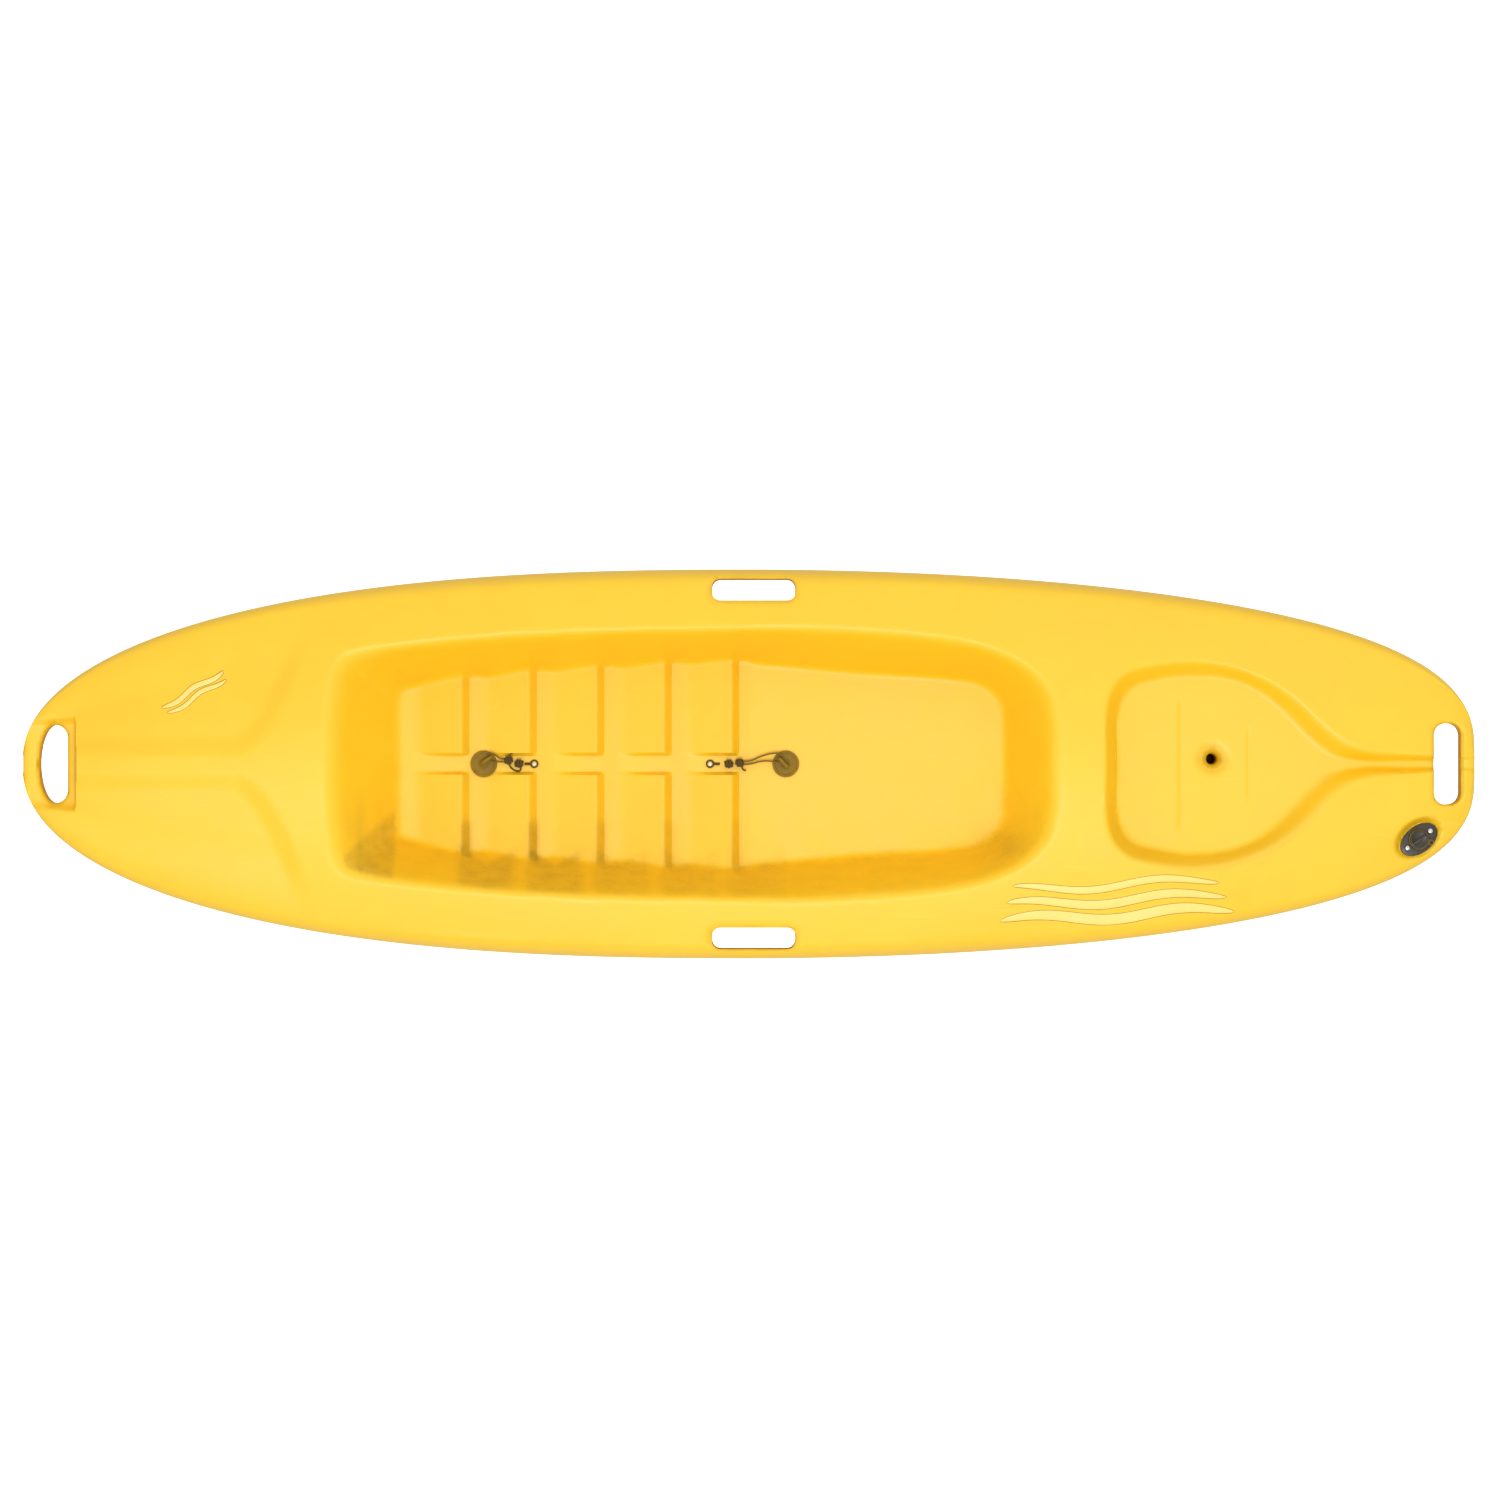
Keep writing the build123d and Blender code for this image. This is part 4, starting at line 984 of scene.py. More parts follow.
    def painted_shade_and_dirt(self, places: Array) -> dict[str, Array]:
        """Painted shade where the wells' walls, corners and recesses fall dark, and a blotchy mix of
        dirt and painted shade.

        Args:
            places: Vertices, one to a row.

        Returns:
            Shares from 0 to 1, by the name of their attribute.
        """
        form, (x, y, z) = self.form, places.T
        to_floor, to_rim = form.cockpit(x, y)
        inside = ease(0.004, -0.006, to_rim)
        wall = ease(-0.002, 0.012, to_floor)
        port = ease(0.02, 0.09, y)
        # Painted shade on the steep faces of the heel steps and in the grooves before them.
        bands = form.valley(x) * ease(-0.02, 0.02, x)
        faces, ends, wedges = np.zeros(x.shape), np.zeros(x.shape), np.zeros(x.shape)
        # Painted shade at the port ends of the step faces, and painted shadow in the wedges where the
        # steps meet the port wall.
        for face, end_shade in zip(form.step_faces, self.step_end_shade):
            faces = np.maximum(faces, np.exp(-(((x - face + 0.001) / 0.0095) ** 2)))
            ends = np.maximum(ends, end_shade * ease(0.0095, 0.0045, np.abs(x - face)))
            slant = y - 0.135 + 0.62 * np.abs(x - face + 0.030)
            near = ease(0.046, 0.030, np.abs(x - face + 0.030))
            wedges = np.maximum(wedges, end_shade * near * ease(0.0, 0.010, slant))
        ends = ends * ease(0.070, 0.088, y) * ease(0.012, 0.0, to_floor)
        bands = np.maximum(bands * 0.6, faces * ease(form.channel_half, 0.017, np.abs(y)))
        # Painted shade in the front port corner, in a streak on the front wall and in the rear port
        # corner.
        corner = ease(0.484, 0.496, x) * ease(-0.008, 0.010, y - 0.060 - 0.95 * (x - 0.487))
        streak = np.exp(-(((x - 0.536) / 0.006) ** 2)) * ease(0.02, 0.08, y)
        rear = np.exp(-(((x + 0.352) / 0.034) ** 2) - ((y - 0.112) / 0.024) ** 2)
        # The even painted shade: the port wall that faces away from the light, the step faces and the
        # patches above.
        painted_shade = wall * port * 0.09 + bands * ease(0.012, -0.006, to_floor) * 0.15
        painted_shade = painted_shade + ends * 0.42 + corner * 0.34 + streak * 0.12 + wedges * 0.26 + rear * 0.22
        # Darker along the floor's foot, mottled dirt on the port wall, and more painted shade,
        # mottled, at the step ends, corners, wedges and rear patch.
        foot = np.exp(-((to_floor / 0.007) ** 2)) * ease(-0.06, 0.08, y) * 0.20
        dirt_and_shade = foot + wall * port * 0.08 + (ends + corner + wedges + rear) * 0.16
        # Darker in the starboard front corner of the cockpit.
        starboard_corner = ease(0.40, 0.50, x) * ease(-0.085, -0.12, y) * 0.12
        tank_floor, tank_rim = form.tank(x, y)
        in_tank = ease(0.002, -0.004, tank_rim)
        # Painted shade on the tank well's port wall and in the kiss-off pit; darker along the tank
        # floor's foot.
        tank_port = ease(0.0, 0.006, tank_floor) * ease(0.03, 0.10, y)
        tank_foot = np.exp(-(((tank_floor - 0.002) / 0.004) ** 2)) * 0.15
        pit = ease(0.026, 0.013, np.hypot(x + 0.638, y + 0.007)) * 0.4
        # Painted shade at the slots' edges and along the outer gunwale edges, more on the port side.
        slot = ease(0.004, 0.0, form.slot_distance(x, y)) * 0.3
        edge = ease(0.90, 1.0, np.abs(y) / form.half_beam(x)) * ease(-0.02, 0.02, z - 0.10)
        painted_shade = inside * painted_shade + in_tank * (tank_port * 0.18 + pit * 0.6) + slot * 0.5
        painted_shade = painted_shade + edge * np.where(y > 0, 0.02, 0.07)
        dirt_and_shade = inside * (dirt_and_shade + starboard_corner) + in_tank * (tank_foot + pit) + slot
        return {"painted_shade": np.clip(painted_shade, 0.0, 1.0), "dirt_and_shade": np.clip(dirt_and_shade + 0.02, 0.0, 1.0)}

    def build(self, finish: bpy.types.Material) -> bpy.types.Object:
        """Builds the moulding.

        Args:
            finish: Its material.

        Returns:
            The closed mesh, riding on the hull.
        """
        skin = shaped_grid(self.section_grid())
        take(skin)
        bpy.ops.object.mode_set(mode="EDIT")
        bpy.ops.mesh.select_all(action="SELECT")
        bpy.ops.mesh.remove_doubles(threshold=2e-5)
        bpy.ops.mesh.select_all(action="DESELECT")
        bpy.ops.mesh.select_non_manifold(extend=False, use_wire=False, use_boundary=True)
        bpy.ops.mesh.edge_face_add()
        bpy.ops.mesh.select_all(action="SELECT")
        bpy.ops.mesh.normals_make_consistent(inside=False)
        bpy.ops.object.mode_set(mode="OBJECT")
        combine(skin, join(self.cutters()), "DIFFERENCE")
        finish_piece(skin, "moulding_skin", finish, 38.0)
        places = np.empty(len(skin.data.vertices) * 3)
        skin.data.vertices.foreach_get("co", places)
        # Stores the painted shade, and the dirt mixed with painted shade, as the mesh's attributes.
        for name, share in self.painted_shade_and_dirt(places.reshape(-1, 3)).items():
            layer = skin.data.attributes.new(name, "FLOAT", "POINT")
            layer.data.foreach_set("value", share)
        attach(skin, Body.HULL.value)
        shells = [entry["node"] for entry in frame["record"]["subparts"]
                  if entry["material_slot"] == "moulding"]
        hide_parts(*shells)
        return skin


@dataclass
class WaveGraphic:
    """Pale wavy stripes raised on the deck, each with a thin dark edge.

    Attributes:
        name: The piece's name.
        form: The deck they lie on.
        start: Where the first stripe's middle line begins.
        end: Where it ends.
        stripes: How many there are.
        width: Width of the widest.
        spacing: From one middle line to the next.
        swell: Height of their waves.
    """

    name: str
    form: KayakForm
    start: Flat
    end: Flat
    stripes: int
    width: float
    spacing: float
    swell: float

    def stripe(self, index: int, grow: float, lift: float) -> bpy.types.Object:
        """One stripe as a thin closed pad on the deck, drawn out by grow and raised by lift."""
        start, end = np.array(self.start), np.array(self.end)
        length = float(np.linalg.norm(end - start))
        along = (end - start) / length
        aside = np.array([-along[1], along[0]])
        share = np.linspace(0.0, 1.0, 72)[None, :]
        across = np.linspace(-1.0, 1.0, 9)[:, None]
        reach = grow / length + 0.06 * index
        run = reach * 0.5 - grow / length + share * (1.0 + 2 * grow / length - reach)
        half = (self.width / 2) * (1.0 - 0.16 * index) * np.sqrt(np.clip(1 - np.abs(
            2 * share - 1) ** 3.2, 0.0, 1.0)) + grow * (1 - np.abs(2 * share - 1) ** 40)
        middle = index * self.spacing + self.swell * np.sin(2 * math.pi * (1.6 * run + 0.07 * index))
        offset = middle + half * across
        x = start[0] + along[0] * run * length + aside[0] * offset
        y = start[1] + along[1] * run * length + aside[1] * offset
        z = self.form.top(x.ravel(), y.ravel()).reshape(x.shape)
        crowned = 0.0005 * (1.0 - across**4) + lift
        upper = np.stack([x, y, z + crowned * np.ones_like(x)], axis=-1)
        lower = np.stack([x, y, z - 0.0006 * np.ones_like(x)], axis=-1)
        pad = shaped_grid(np.concatenate([upper, lower[::-1], upper[:1]]))
        take(pad)
        bpy.ops.object.mode_set(mode="EDIT")
        bpy.ops.mesh.select_all(action="SELECT")
        bpy.ops.mesh.remove_doubles(threshold=1e-5)
        bpy.ops.mesh.select_all(action="DESELECT")
        bpy.ops.mesh.select_non_manifold(extend=False, use_wire=False, use_boundary=True)
        bpy.ops.mesh.edge_face_add()
        bpy.ops.object.mode_set(mode="OBJECT")
        return pad

    def build(self, pale: bpy.types.Material, edge: bpy.types.Material) -> None:
        """Builds the stripes and their edges, riding on the hull."""
        for kind, finish, grow, lift in (("stripes", pale, 0.0, 0.0004),
                                         ("edges", edge, 0.0011, 0.0)):
            piece = join([self.stripe(i, grow, lift) for i in range(self.stripes)])
            finish_piece(piece, f"{self.name}_{kind}", finish, 50.0)
            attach(piece, Body.HULL.value)


# ------------------------------------------------------------------------ bungs and tethers


def read_spline(route: Sequence[Point], resolution: int = 10) -> list[Vector]:
    """Points read from the smooth line of a route.

    Args:
        route: Control points, in metres.
        resolution: Points to each of its stretches.

    Returns:
        Points along the line.
    """
    curve = bpy.data.curves.new("route", "CURVE")
    curve.dimensions, curve.resolution_u = "3D", resolution
    spline = curve.splines.new("NURBS")
    spline.points.add(len(route) - 1)
    for point, place in zip(spline.points, route):
        point.co = (*place, 1.0)
    spline.order_u, spline.use_endpoint_u = 3, True
    holder = bpy.data.objects.new("route", curve)
    bpy.context.scene.collection.objects.link(holder)
    bpy.context.view_layer.update()
    line = bpy.data.meshes.new_from_object(holder)
    points = [vertex.co.copy() for vertex in line.vertices]
    bpy.data.objects.remove(holder)
    bpy.data.meshes.remove(line)
    return points


def strand(path: Sequence[Vector], radius: float, lobes: int = 3, lay: float = 0.007,
           sides: int = 18) -> bpy.types.Object:
    """Laid cord as a closed tube along a path, with its length in its UV map.

    Args:
        path: Points of its middle line.
        radius: Its outer radius.
        lobes: How many yarns show round it.
        lay: Length in which the yarns go round once.
        sides: Faces round it.

    Returns:
        The mesh.
    """
    normal = Vector((0.0, 0.0, 1.0))
    rings, run = [], 0.0
    runs = []
    for i, place in enumerate(path):
        ahead = (path[min(i + 1, len(path) - 1)] - path[max(i - 1, 0)]).normalized()
        normal = (normal - ahead * normal.dot(ahead)).normalized()
        side = ahead.cross(normal)
        run += (place - path[i - 1]).length if i else 0.0
        runs.append(run)
        ring = []
        for k in range(sides + 1):
            turn = 2 * math.pi * k / sides
            swell = 0.93 + 0.09 * math.cos(lobes * (turn - 2 * math.pi * run / lay))
            ring.append(place + (normal * math.cos(turn) + side * math.sin(turn)) * radius * swell)
        rings.append(ring)
    tube = shaped_grid(np.array(rings, dtype=float))
    uv = tube.data.uv_layers[0]
    uv.name = "UVMap"
    places = np.empty(len(tube.data.loops) * 2)
    uv.data.foreach_get("uv", places)
    places = places.reshape(-1, 2)
    rows = np.rint(places[:, 1] * (len(path) - 1)).astype(int)
    places[:, 1] = np.array(runs)[rows]
    uv.data.foreach_set("uv", places.ravel())
    take(tube)
    bpy.ops.object.mode_set(mode="EDIT")
    bpy.ops.mesh.select_all(action="SELECT")
    bpy.ops.mesh.remove_doubles(threshold=1e-6)
    bpy.ops.mesh.select_all(action="DESELECT")
    bpy.ops.mesh.select_non_manifold(extend=False, use_wire=False, use_boundary=True)
    bpy.ops.mesh.edge_face_add()
    bpy.ops.object.mode_set(mode="OBJECT")
    return tube


@dataclass
class ScupperSet:
    """One scupper's bung, tether, knots, eyelet and rivet.

    Attributes:
        place: Which scupper it is.
        x: Where its bore is.
        blade: Blade's offset in x and y, direction of its eye end, and lean of its top.
        eyelet_x: Where its eyelet's rivet is.
        route: The tether's control points, from knot to knot.
        length: The tether's length; not used.
        tails: Control points of each loose end that stands out of the knots.
        knots: Where each knot starts, the first where both runs of the tether end.
    """

    place: Place
    x: float
    blade: tuple[float, float, float, float]
    eyelet_x: float
    route: Sequence[Point]
    length: float
    tails: Sequence[Sequence[Point]]
    knots: tuple[Flat, ...]
    base_z: float = 0.0553
    cord_radius: float = 0.0012
    eyelet_z: float = 0.0571

    def body(self) -> Body:
        """The body that the bung rides on."""
        return Body.FRONT_BUNG if self.place is Place.FRONT else Body.REAR_BUNG

    def bung(self, finish: bpy.types.Material) -> None:
        """Turns the bung and sets its pull blade on it."""
        profile = [(0.0116, -0.0200), (0.0129, -0.0190), (0.0132, -0.0165), (0.0143, -0.0152),
                   (0.0136, -0.0138), (0.0138, -0.0112), (0.0146, -0.0098), (0.0140, -0.0083),
                   (0.0141, -0.0032), (0.0147, -0.0020), (0.0147, -0.0003), (0.0178, 0.0000),
                   (0.0184, 0.0006), (0.0185, 0.0024), (0.0182, 0.0034), (0.0174, 0.0040),
                   (0.0162, 0.0040), (0.0154, 0.0036), (0.0146, 0.0027), (0.0136, 0.0024),
                   (0.0084, 0.0023), (0.0078, 0.0026), (0.0070, 0.0026), (0.0064, 0.0022),
                   (0.0020, 0.0022)]
        bung = lathe((self.x, 0.0, self.base_z), profile, 72)
        dx, dy, turn, lean = self.blade
        outline = np.array([(-0.0096, 0.0015), (0.0096, 0.0015), (0.0095 + lean * 0.8, 0.0120),
                            (0.0082 + lean, 0.0144), (0.0060 + lean, 0.0150),
                            (lean - 0.0045, 0.0150), (lean - 0.0078, 0.0138),
                            (lean - 0.0094, 0.0100)])
        blade = soften(prism(outline, -0.0020, 0.0020), 0.0009)
        eye_x = 0.0051 + lean * 8.0 / 15.0
        eye = lathe((eye_x, 0.0080, 0.0), [(0.0033, -0.0030), (0.0033, -0.0021),
                                           (0.0024, -0.0012), (0.0024, 0.0012),
                                           (0.0033, 0.0021), (0.0033, 0.0030)], 28)
        combine(blade, eye, "DIFFERENCE")
        upright = (Matrix.Translation((self.x + dx, dy, self.base_z))
                   @ Matrix.Rotation(math.radians(turn), 4, "Z")
                   @ Matrix.Rotation(math.pi / 2, 4, "X"))
        combine(bung, set_down(blade, upright), "UNION")
        finish_piece(bung, f"bung_{self.place.value}", finish, 40.0)
        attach(bung, self.body().value)
        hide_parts(f"scupper_plug_{self.place.value}")

    def knot(self, place: Flat, turns: float) -> list[bpy.types.Object]:
        """Barrel knot that starts at a place and runs on towards the eyelet."""
        facing = 1.0 if self.eyelet_x > self.x else -1.0
        at = Vector((*place, self.route[0][2]))
        ahead, up, side = Vector((facing, 0, 0)), Vector((0, 0, 1)), Vector((0, 1, 0))
        coil = []
        for step in range(81):
            share = step / 80
            turn = 2 * math.pi * turns * share
            reach = 0.0044 * (0.55 + 0.45 * math.sin(math.pi * share) ** 0.6)
            coil.append(at + ahead * (0.0017 + 0.0096 * share)
                        + (up * math.cos(turn) + side * math.sin(turn)) * reach)
        core = [at + ahead * (0.0122 * i / 10 + 0.0002) for i in range(11)]
        return [strand(coil, 0.0019, sides=14), strand(core, 0.0031, sides=14)]

    def tether(self, finish: bpy.types.Material, dark: bpy.types.Material) -> None:
        """Lays the doubled tether through the bung's eye, and ties its two knots."""
        path = read_spline(self.route)
        cord = strand(path, self.cord_radius)
        finish_piece(cord, f"tether_{self.place.value}", finish, 60.0)
        coils = self.knot(self.knots[0], 3.1) + self.knot(self.knots[1], 2.7)
        coils += [strand(read_spline(tail), 0.0011, sides=12) for tail in self.tails]
        tied = finish_piece(join(coils), f"knots_{self.place.value}", dark, 60.0)
        for piece, node in ((cord, "tether_cord"), (tied, "tether_knots")):
            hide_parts(f"{node}_{self.place.value}")
            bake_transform(piece)

    def eyelet(self, finish: bpy.types.Material) -> None:
        """Winds the eyelet's ring and its shank."""
        facing = 1.0 if self.x > self.eyelet_x else -1.0
        clear_selection()
        bpy.ops.mesh.primitive_torus_add(major_radius=0.0046, minor_radius=0.0014,
                                         major_segments=120, minor_segments=14,
                                         location=(self.eyelet_x, 0.0, self.eyelet_z))
        bpy.ops.object.transform_apply(location=True)
        ring = bpy.context.object
        middle = Vector((self.eyelet_x, 0.0, self.eyelet_z))
        for vertex in ring.data.vertices:
            out = vertex.co - middle
            around = math.atan2(out.y, out.x)
            core = middle + Vector((math.cos(around), math.sin(around), 0.0)) * 0.0046
            vertex.co = core + (vertex.co - core) * (0.95 + 0.07 * math.cos(24 * around))
        turns = 4
        profile = [(0.0013, 0.0)]
        for i in range(turns):
            low = 0.0002 + 0.0088 * i / turns
            step = 0.0088 / turns
            profile += [(0.0015, low), (0.0019, low + 0.25 * step), (0.0020, low + 0.5 * step),
                        (0.0019, low + 0.75 * step)]
        profile += [(0.0015, 0.0090)]
        shank = lathe((0.0, 0.0, 0.0), profile, 28)
        lie = (Matrix.Translation((self.eyelet_x + facing * 0.0046, 0.0, self.eyelet_z))
               @ Matrix.Rotation(facing * math.pi / 2, 4, "Y"))
        combine(ring, set_down(shank, lie), "UNION")
        finish_piece(ring, f"eyelet_{self.place.value}", finish, 50.0)
        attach(ring, Body.HULL.value)
        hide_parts(f"tether_eyelet_{self.place.value}")

    def rivet(self, finish: bpy.types.Material) -> None:
        """Turns the rivet that holds the eyelet down."""
        profile = [(0.0028, 0.0486), (0.0030, 0.0490), (0.0030, 0.0498), (0.0019, 0.0498),
                   (0.0019, 0.0550), (0.0028, 0.0550), (0.0028, 0.0585), (0.0037, 0.0585),
                   (0.0039, 0.0587), (0.00385, 0.0591), (0.0035, 0.0597), (0.0029, 0.0602),
                   (0.0020, 0.0606), (0.0011, 0.0607), (0.0008, 0.0605), (0.0003, 0.06045)]
        pin = lathe((self.eyelet_x, 0.0, 0.0), profile, 48)
        finish_piece(pin, f"rivet_{self.place.value}", finish, 40.0)
        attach(pin, Body.HULL.value)
        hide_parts(f"tether_rivet_{self.place.value}")

    def build(self, finishes: Finishes) -> None:
        """Builds the whole set."""
        self.bung(finishes.shared("bung"))
        self.tether(finishes.shared("cord"), finishes.shared("knots"))
        self.eyelet(finishes.shared("whipping"))
        self.rivet(finishes.shared("rivet"))


# ------------------------------------------------------------------------- the drain fitting


@dataclass
class DrainFitting:
    """Oval flange with its screws, and the screw-in plug with its leash.

    Attributes:
        centre: Middle of its pad, at the pad's height.
        turn: Direction of its long axis in degrees.
        half_size: Half-length and half-width of the flange.
        flange_low: Foot of the flange above the pad.
        flange_high: Its top above the pad.
    """

    centre: Point = (-0.923, 0.104, 0.141)
    turn: float = 37.0
    half_size: Flat = (0.029, 0.0185)
    flange_low: float = 0.001
    flange_high: float = 0.0042
    screw_reach: float = 0.0195
    leash_z: float = 0.00735
    cap_z: float = 0.0092

    def frame_of(self) -> Matrix:
        """From the fitting's own axes to the kayak's."""
        return (Matrix.Translation(self.centre)
                @ Matrix.Rotation(math.radians(self.turn), 4, "Z"))

    def flange(self, finish: bpy.types.Material) -> None:
        """Makes the oval flange with its collar, barrel and bore."""
        turns = np.linspace(0.0, 2 * math.pi, 97)[:-1]
        outline = np.column_stack([self.half_size[0] * np.cos(turns),
                                   self.half_size[1] * np.sin(turns)])
        plate = soften(prism(outline, self.flange_low, self.flange_high), 0.0011)
        collar = lathe((0.0, 0.0, 0.0), [(0.0122, -0.0130), (0.0126, -0.0126), (0.0126, 0.0030),
                                         (0.0152, 0.0041), (0.0146, 0.0047), (0.0140, 0.0050),
                                         (0.0138, 0.0059), (0.0134, 0.0062), (0.0100, 0.0062)], 72)
        combine(plate, collar, "UNION")
        bore = lathe((0.0, 0.0, 0.0), [(0.0093, -0.0200), (0.0093, 0.0056), (0.0098, 0.0063),
                                       (0.0098, 0.0080)], 56)
        combine(plate, bore, "DIFFERENCE")
        for side in (1, -1):
            seat = lathe((side * self.screw_reach, 0.0, 0.0), [(0.0018, 0.0), (0.0018, 0.0037),
                                                               (0.0040, 0.0041),
                                                               (0.0040, 0.0060)], 32)
            combine(plate, seat, "DIFFERENCE")
        set_down(plate, self.frame_of())
        finish_piece(plate, "drain_flange_detailed", finish, 35.0)
        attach(plate, Body.HULL.value)
        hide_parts("drain_flange")

    def screws(self, finish: bpy.types.Material) -> None:
        """Makes the two pan-head screws with their cross recesses."""
        heads = []
        for side in (1, -1):
            at = (side * self.screw_reach, 0.0, 0.0)
            profile = [(0.0008, -0.0088), (0.0013, -0.0076)]
            for i in range(7):
                low = -0.0072 + 0.00155 * i
                profile += [(0.0014, low), (0.00175, low + 0.0004), (0.0014, low + 0.0008)]
            profile += [(0.0017, 0.0041), (0.0034, 0.0042), (0.0036, 0.0046), (0.0035, 0.0053),
                        (0.0031, 0.0059), (0.0023, 0.0063), (0.0012, 0.0064)]
            screw = lathe(at, profile, 36)
            for across in (0.0, math.pi / 2):
                arm = [(-0.0017, -0.0004), (0.0017, -0.0004), (0.0017, 0.0004), (-0.0017, 0.0004)]
                recess = prism(np.array(arm), 0.0050, 0.0070)
                spin = Matrix.Rotation(across + 0.6 * side, 4, "Z")
                combine(screw, set_down(recess, Matrix.Translation(at) @ spin), "DIFFERENCE")
            heads.append(screw)
        pair = set_down(join(heads), self.frame_of())
        finish_piece(pair, "drain_screws_detailed", finish, 35.0)
        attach(pair, Body.HULL.value)
        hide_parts("drain_screws")

    def plug(self, finish: bpy.types.Material) -> None:
        """Makes the screw plug with its threads, its knurled cap and its grip."""
        z = self.cap_z
        profile = [(0.0070, z - 0.0140), (0.0076, z - 0.0134)]
        for i in range(4):
            low = z - 0.0132 + 0.003 * i
            profile += [(0.0080, low), (0.0089, low + 0.0006), (0.0089, low + 0.0011),
                        (0.0080, low + 0.0017)]
        profile += [(0.0080, z), (0.0121, z), (0.0125, z + 0.0004), (0.0125, z + 0.0029),
                    (0.0120, z + 0.0037), (0.0110, z + 0.0040), (0.0100, z + 0.0037),
                    (0.0094, z + 0.0034), (0.0030, z + 0.0034)]
        plug = lathe((0.0, 0.0, 0.0), profile, 72)
        for vertex in plug.data.vertices:
            out = math.hypot(vertex.co.x, vertex.co.y)
            if out > 0.0119 and vertex.co.z > z + 0.0002:
                around = math.atan2(vertex.co.y, vertex.co.x)
                scale = 1.0 - 0.028 * (0.5 + 0.5 * math.cos(24 * around))
                vertex.co.x, vertex.co.y = vertex.co.x * scale, vertex.co.y * scale
        turns = np.linspace(0.0, 2 * math.pi, 41)[:-1]
        grip = np.column_stack([0.0105 * np.sign(np.cos(turns)) * np.abs(np.cos(turns)) ** 0.5,
                                0.0020 * np.sign(np.sin(turns)) * np.abs(np.sin(turns)) ** 0.5])
        grip[:, 1] *= 0.72 + 0.28 * np.abs(grip[:, 0] / 0.0105)
        fin = soften(prism(grip, z + 0.0030, z + 0.0110), 0.0008)
        combine(plug, fin, "UNION")
        set_down(plug, self.frame_of())
        finish_piece(plug, "drain_plug_detailed", finish, 35.0)
        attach(plug, Body.DRAIN_PLUG.value)
        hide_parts("drain_plug")

    def leash(self, finish: bpy.types.Material) -> None:
        """Makes the leash ring under the cap, with the small loop at its side."""
        rings = []
        toward = math.radians(130.0)
        for radius, centre in ((0.01295, (0.0, 0.0)),
                               (0.00335, (0.017 * math.cos(toward), 0.017 * math.sin(toward)))):
            clear_selection()
            bpy.ops.mesh.primitive_torus_add(major_radius=radius, minor_radius=0.00085,
                                             major_segments=72, minor_segments=14,
                                             location=(*centre, self.leash_z))
            bpy.ops.object.transform_apply(location=True)
            rings.append(bpy.context.object)
        leash = set_down(combine(rings[0], rings[1], "UNION"), self.frame_of())
        finish_piece(leash, "drain_leash_detailed", finish, 50.0)
        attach(leash, Body.DRAIN_LIFT.value)
        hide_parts("drain_leash")

    def build(self, finishes: Finishes) -> None:
        """Builds the whole fitting."""
        self.flange(finishes.shared("drain"))
        self.screws(finishes.shared("steel"))
        self.plug(finishes.shared("drain"))
        self.leash(finishes.shared("leash"))


@dataclass
class KeptParts:
    """CAD solids whose plain shapes are right, which only get their finish here."""

    finish_of: tuple[tuple[str, str], ...] = (
        ("foam_block_bow", "foam"), ("foam_block_stern", "foam"), ("rivet_washers", "rivet"),
        ("drain_gasket", "seal"), ("drain_o_ring", "seal"))

    def dress(self, finishes: Finishes) -> None:
        """Gives each kept solid its material."""
        for node, finish in self.finish_of:
            solid = bpy.data.objects[node]
            solid.data.materials.clear()
            solid.data.materials.append(finishes.shared(finish))
            LOG.info("%s: kept with %s", node, finish)


# ------------------------------------------------------------------------------- the studio


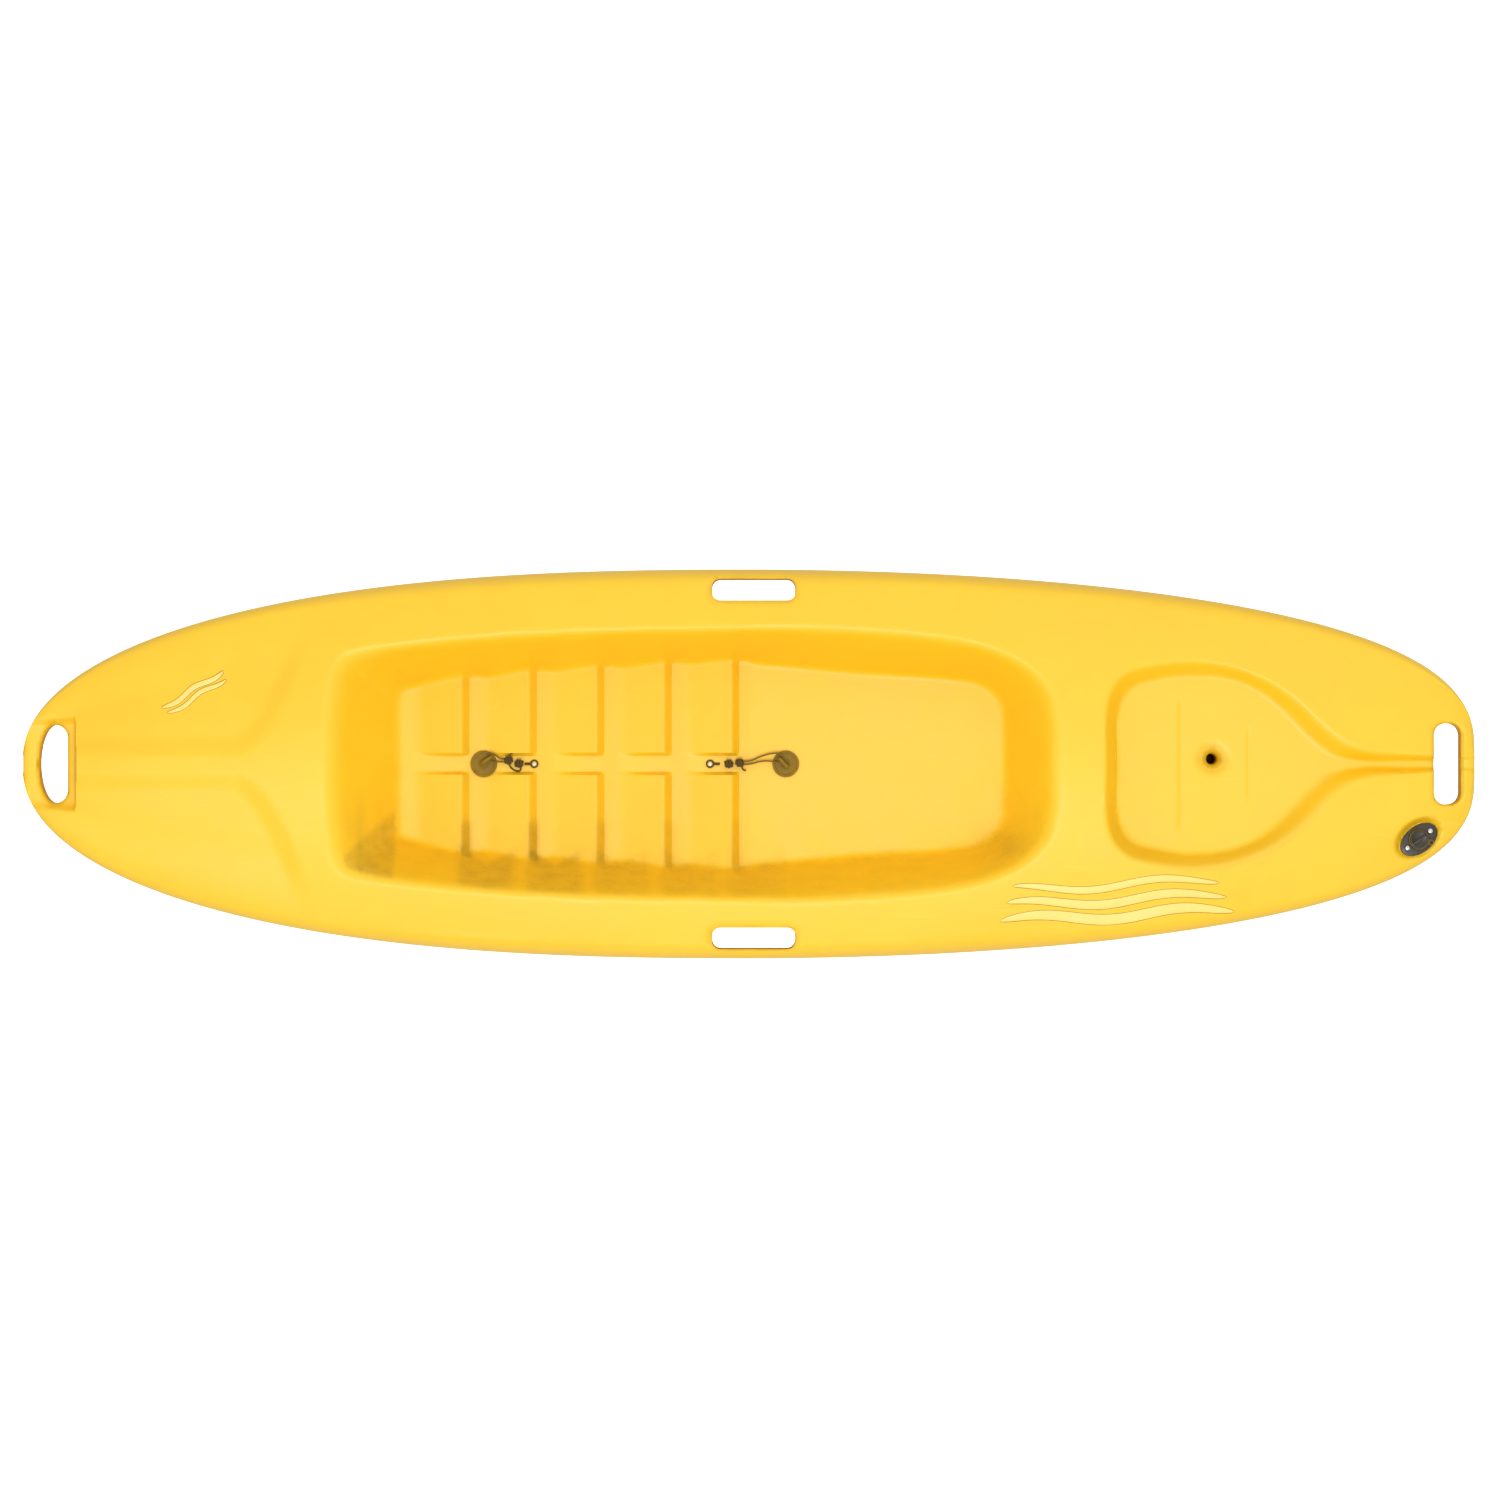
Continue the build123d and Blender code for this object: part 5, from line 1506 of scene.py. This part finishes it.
@dataclass
class Studio:
    """Camera straight above the kayak, soft lights and a pale floor.

    Attributes:
        centre: Middle of the view.
        field: Width of the view at the gunwales.
        distance: From the camera down to the gunwales.
    """

    centre: Flat = (-0.0014, -0.0193)
    field: float = 2.069
    distance: float = 12.0
    gunwale_z: float = 0.13

    def camera(self) -> None:
        """Puts up the camera, with starboard at the top of its view and the bow at its left."""
        lens = bpy.data.cameras.new("view_from_above")
        lens.sensor_width, lens.lens = 36.0, 36.0 * self.distance / self.field
        camera = bpy.data.objects.new("view_from_above", lens)
        camera.location = (*self.centre, self.gunwale_z + self.distance)
        camera.rotation_euler = (0.0, 0.0, math.pi)
        bpy.context.scene.collection.objects.link(camera)
        bpy.context.scene.camera = camera

    def light(self, name: str, place: Point, size: float, power: float) -> None:
        """Hangs a square soft light that faces the kayak."""
        lamp = bpy.data.lights.new(name, "AREA")
        lamp.shape, lamp.size, lamp.energy = "SQUARE", size, power
        holder = bpy.data.objects.new(name, lamp)
        holder.location = place
        holder.rotation_euler = Vector(place).to_track_quat("Z", "Y").to_euler()
        bpy.context.scene.collection.objects.link(holder)

    def build(self, finish: bpy.types.Material) -> None:
        """Lays the floor and hangs the lights."""
        clear_selection()
        bpy.ops.mesh.primitive_grid_add(x_subdivisions=8, y_subdivisions=8, size=14.0,
                                        location=(0.0, 0.0, -0.001))
        bpy.ops.object.transform_apply(location=True)
        floor = bpy.context.object
        floor.name = "studio_floor"
        floor.data.materials.append(finish)
        shader = finish.node_tree.nodes["Principled BSDF"]
        shader.inputs["Emission Color"].default_value = (1.0, 1.0, 1.0, 1.0)
        kit = NodeKit(finish.node_tree)
        seen = kit.add("LightPath").outputs["Is Camera Ray"]
        finish.node_tree.links.new(seen, shader.inputs["Emission Strength"])
        self.light("key_light", (0.15, 1.3, 4.5), 1.2, 74.0)
        self.light("fill_light", (-1.6, -2.4, 3.8), 2.4, 15.0)
        world = bpy.data.worlds.new("studio")
        bpy.context.scene.world = world
        world.use_nodes = True
        sky = world.node_tree.nodes["Background"]
        sky.inputs["Color"].default_value = (1.0, 1.0, 1.0, 1.0)
        sky.inputs["Strength"].default_value = 0.80
        bpy.context.scene.view_settings.view_transform = "Standard"


FRONT_ROUTE = [(0.340, -0.003, 0.0615), (0.349, -0.003, 0.0615), (0.3583, -0.003, 0.0632),
               (0.3637, -0.0108, 0.0633), (0.3602, -0.0156, 0.0629), (0.352, -0.013, 0.0623),
               (0.346, -0.007, 0.0615), (0.340, -0.007, 0.0615)]
REAR_ROUTE = [(0.0065, 0.0005, 0.0615), (-0.002, 0.0005, 0.0615), (-0.014, -0.0034, 0.062),
              (-0.028, -0.0046, 0.0625), (-0.0405, -0.0011, 0.0632), (-0.0476, -0.0082, 0.0633),
              (-0.045, -0.0148, 0.0628), (-0.034, -0.0152, 0.0622), (-0.018, -0.0114, 0.0619),
              (-0.002, -0.0035, 0.0615), (0.0065, -0.0035, 0.0615)]
FRONT_TAIL = [(0.3340, -0.0040, 0.0600), (0.3325, 0.0020, 0.0585), (0.3295, 0.0065, 0.0569),
              (0.3240, 0.0098, 0.0566), (0.3185, 0.0102, 0.0566), (0.3160, 0.0075, 0.0570),
              (0.3175, 0.0035, 0.0590)]
FRONT_END = [(0.3330, -0.0110, 0.0640), (0.3300, -0.0145, 0.0635), (0.3265, -0.0155, 0.0620),
             (0.3230, -0.0150, 0.0600)]
REAR_END = [(0.0100, 0.0020, 0.0610), (0.0095, 0.0065, 0.0600), (0.0070, 0.0088, 0.0590),
            (0.0045, 0.0092, 0.0575)]


def main() -> None:
    """Builds the whole scene and reports each piece."""
    logging.basicConfig(level=logging.INFO, format="%(name)s: %(message)s")
    studio = Studio()
    studio.camera()
    finishes = Finishes()
    form = KayakForm()
    ScupperSet(Place.FRONT, 0.368, (0.0, -0.0024, 214.6, 0.006), 0.298, FRONT_ROUTE, 0.0545,
               (FRONT_TAIL, FRONT_END), ((0.340, -0.005), (0.3255, -0.0005))).build(finishes)
    ScupperSet(Place.REAR, -0.051, (0.003, -0.0014, 315.0, 0.0), 0.054, REAR_ROUTE, 0.1163,
               (REAR_END,), ((0.0065, -0.0015), (0.0215, 0.0))).build(finishes)
    Moulding(form).build(finishes.shared("moulding"))
    WaveGraphic("port_graphic", form, (-0.345, 0.216), (-0.668, 0.200), 3, 0.014, 0.021,
                0.0055).build(finishes.shared("graphic"), finishes.shared("graphic_edge"))
    WaveGraphic("bow_graphic", form, (0.722, -0.128), (0.806, -0.076), 2, 0.007, 0.0105,
                0.0025).build(finishes.shared("graphic"), finishes.shared("graphic_edge"))
    DrainFitting().build(finishes)
    KeptParts().dress(finishes)
    studio.build(finishes.shared("floor"))


if __name__ == "__main__":
    main()
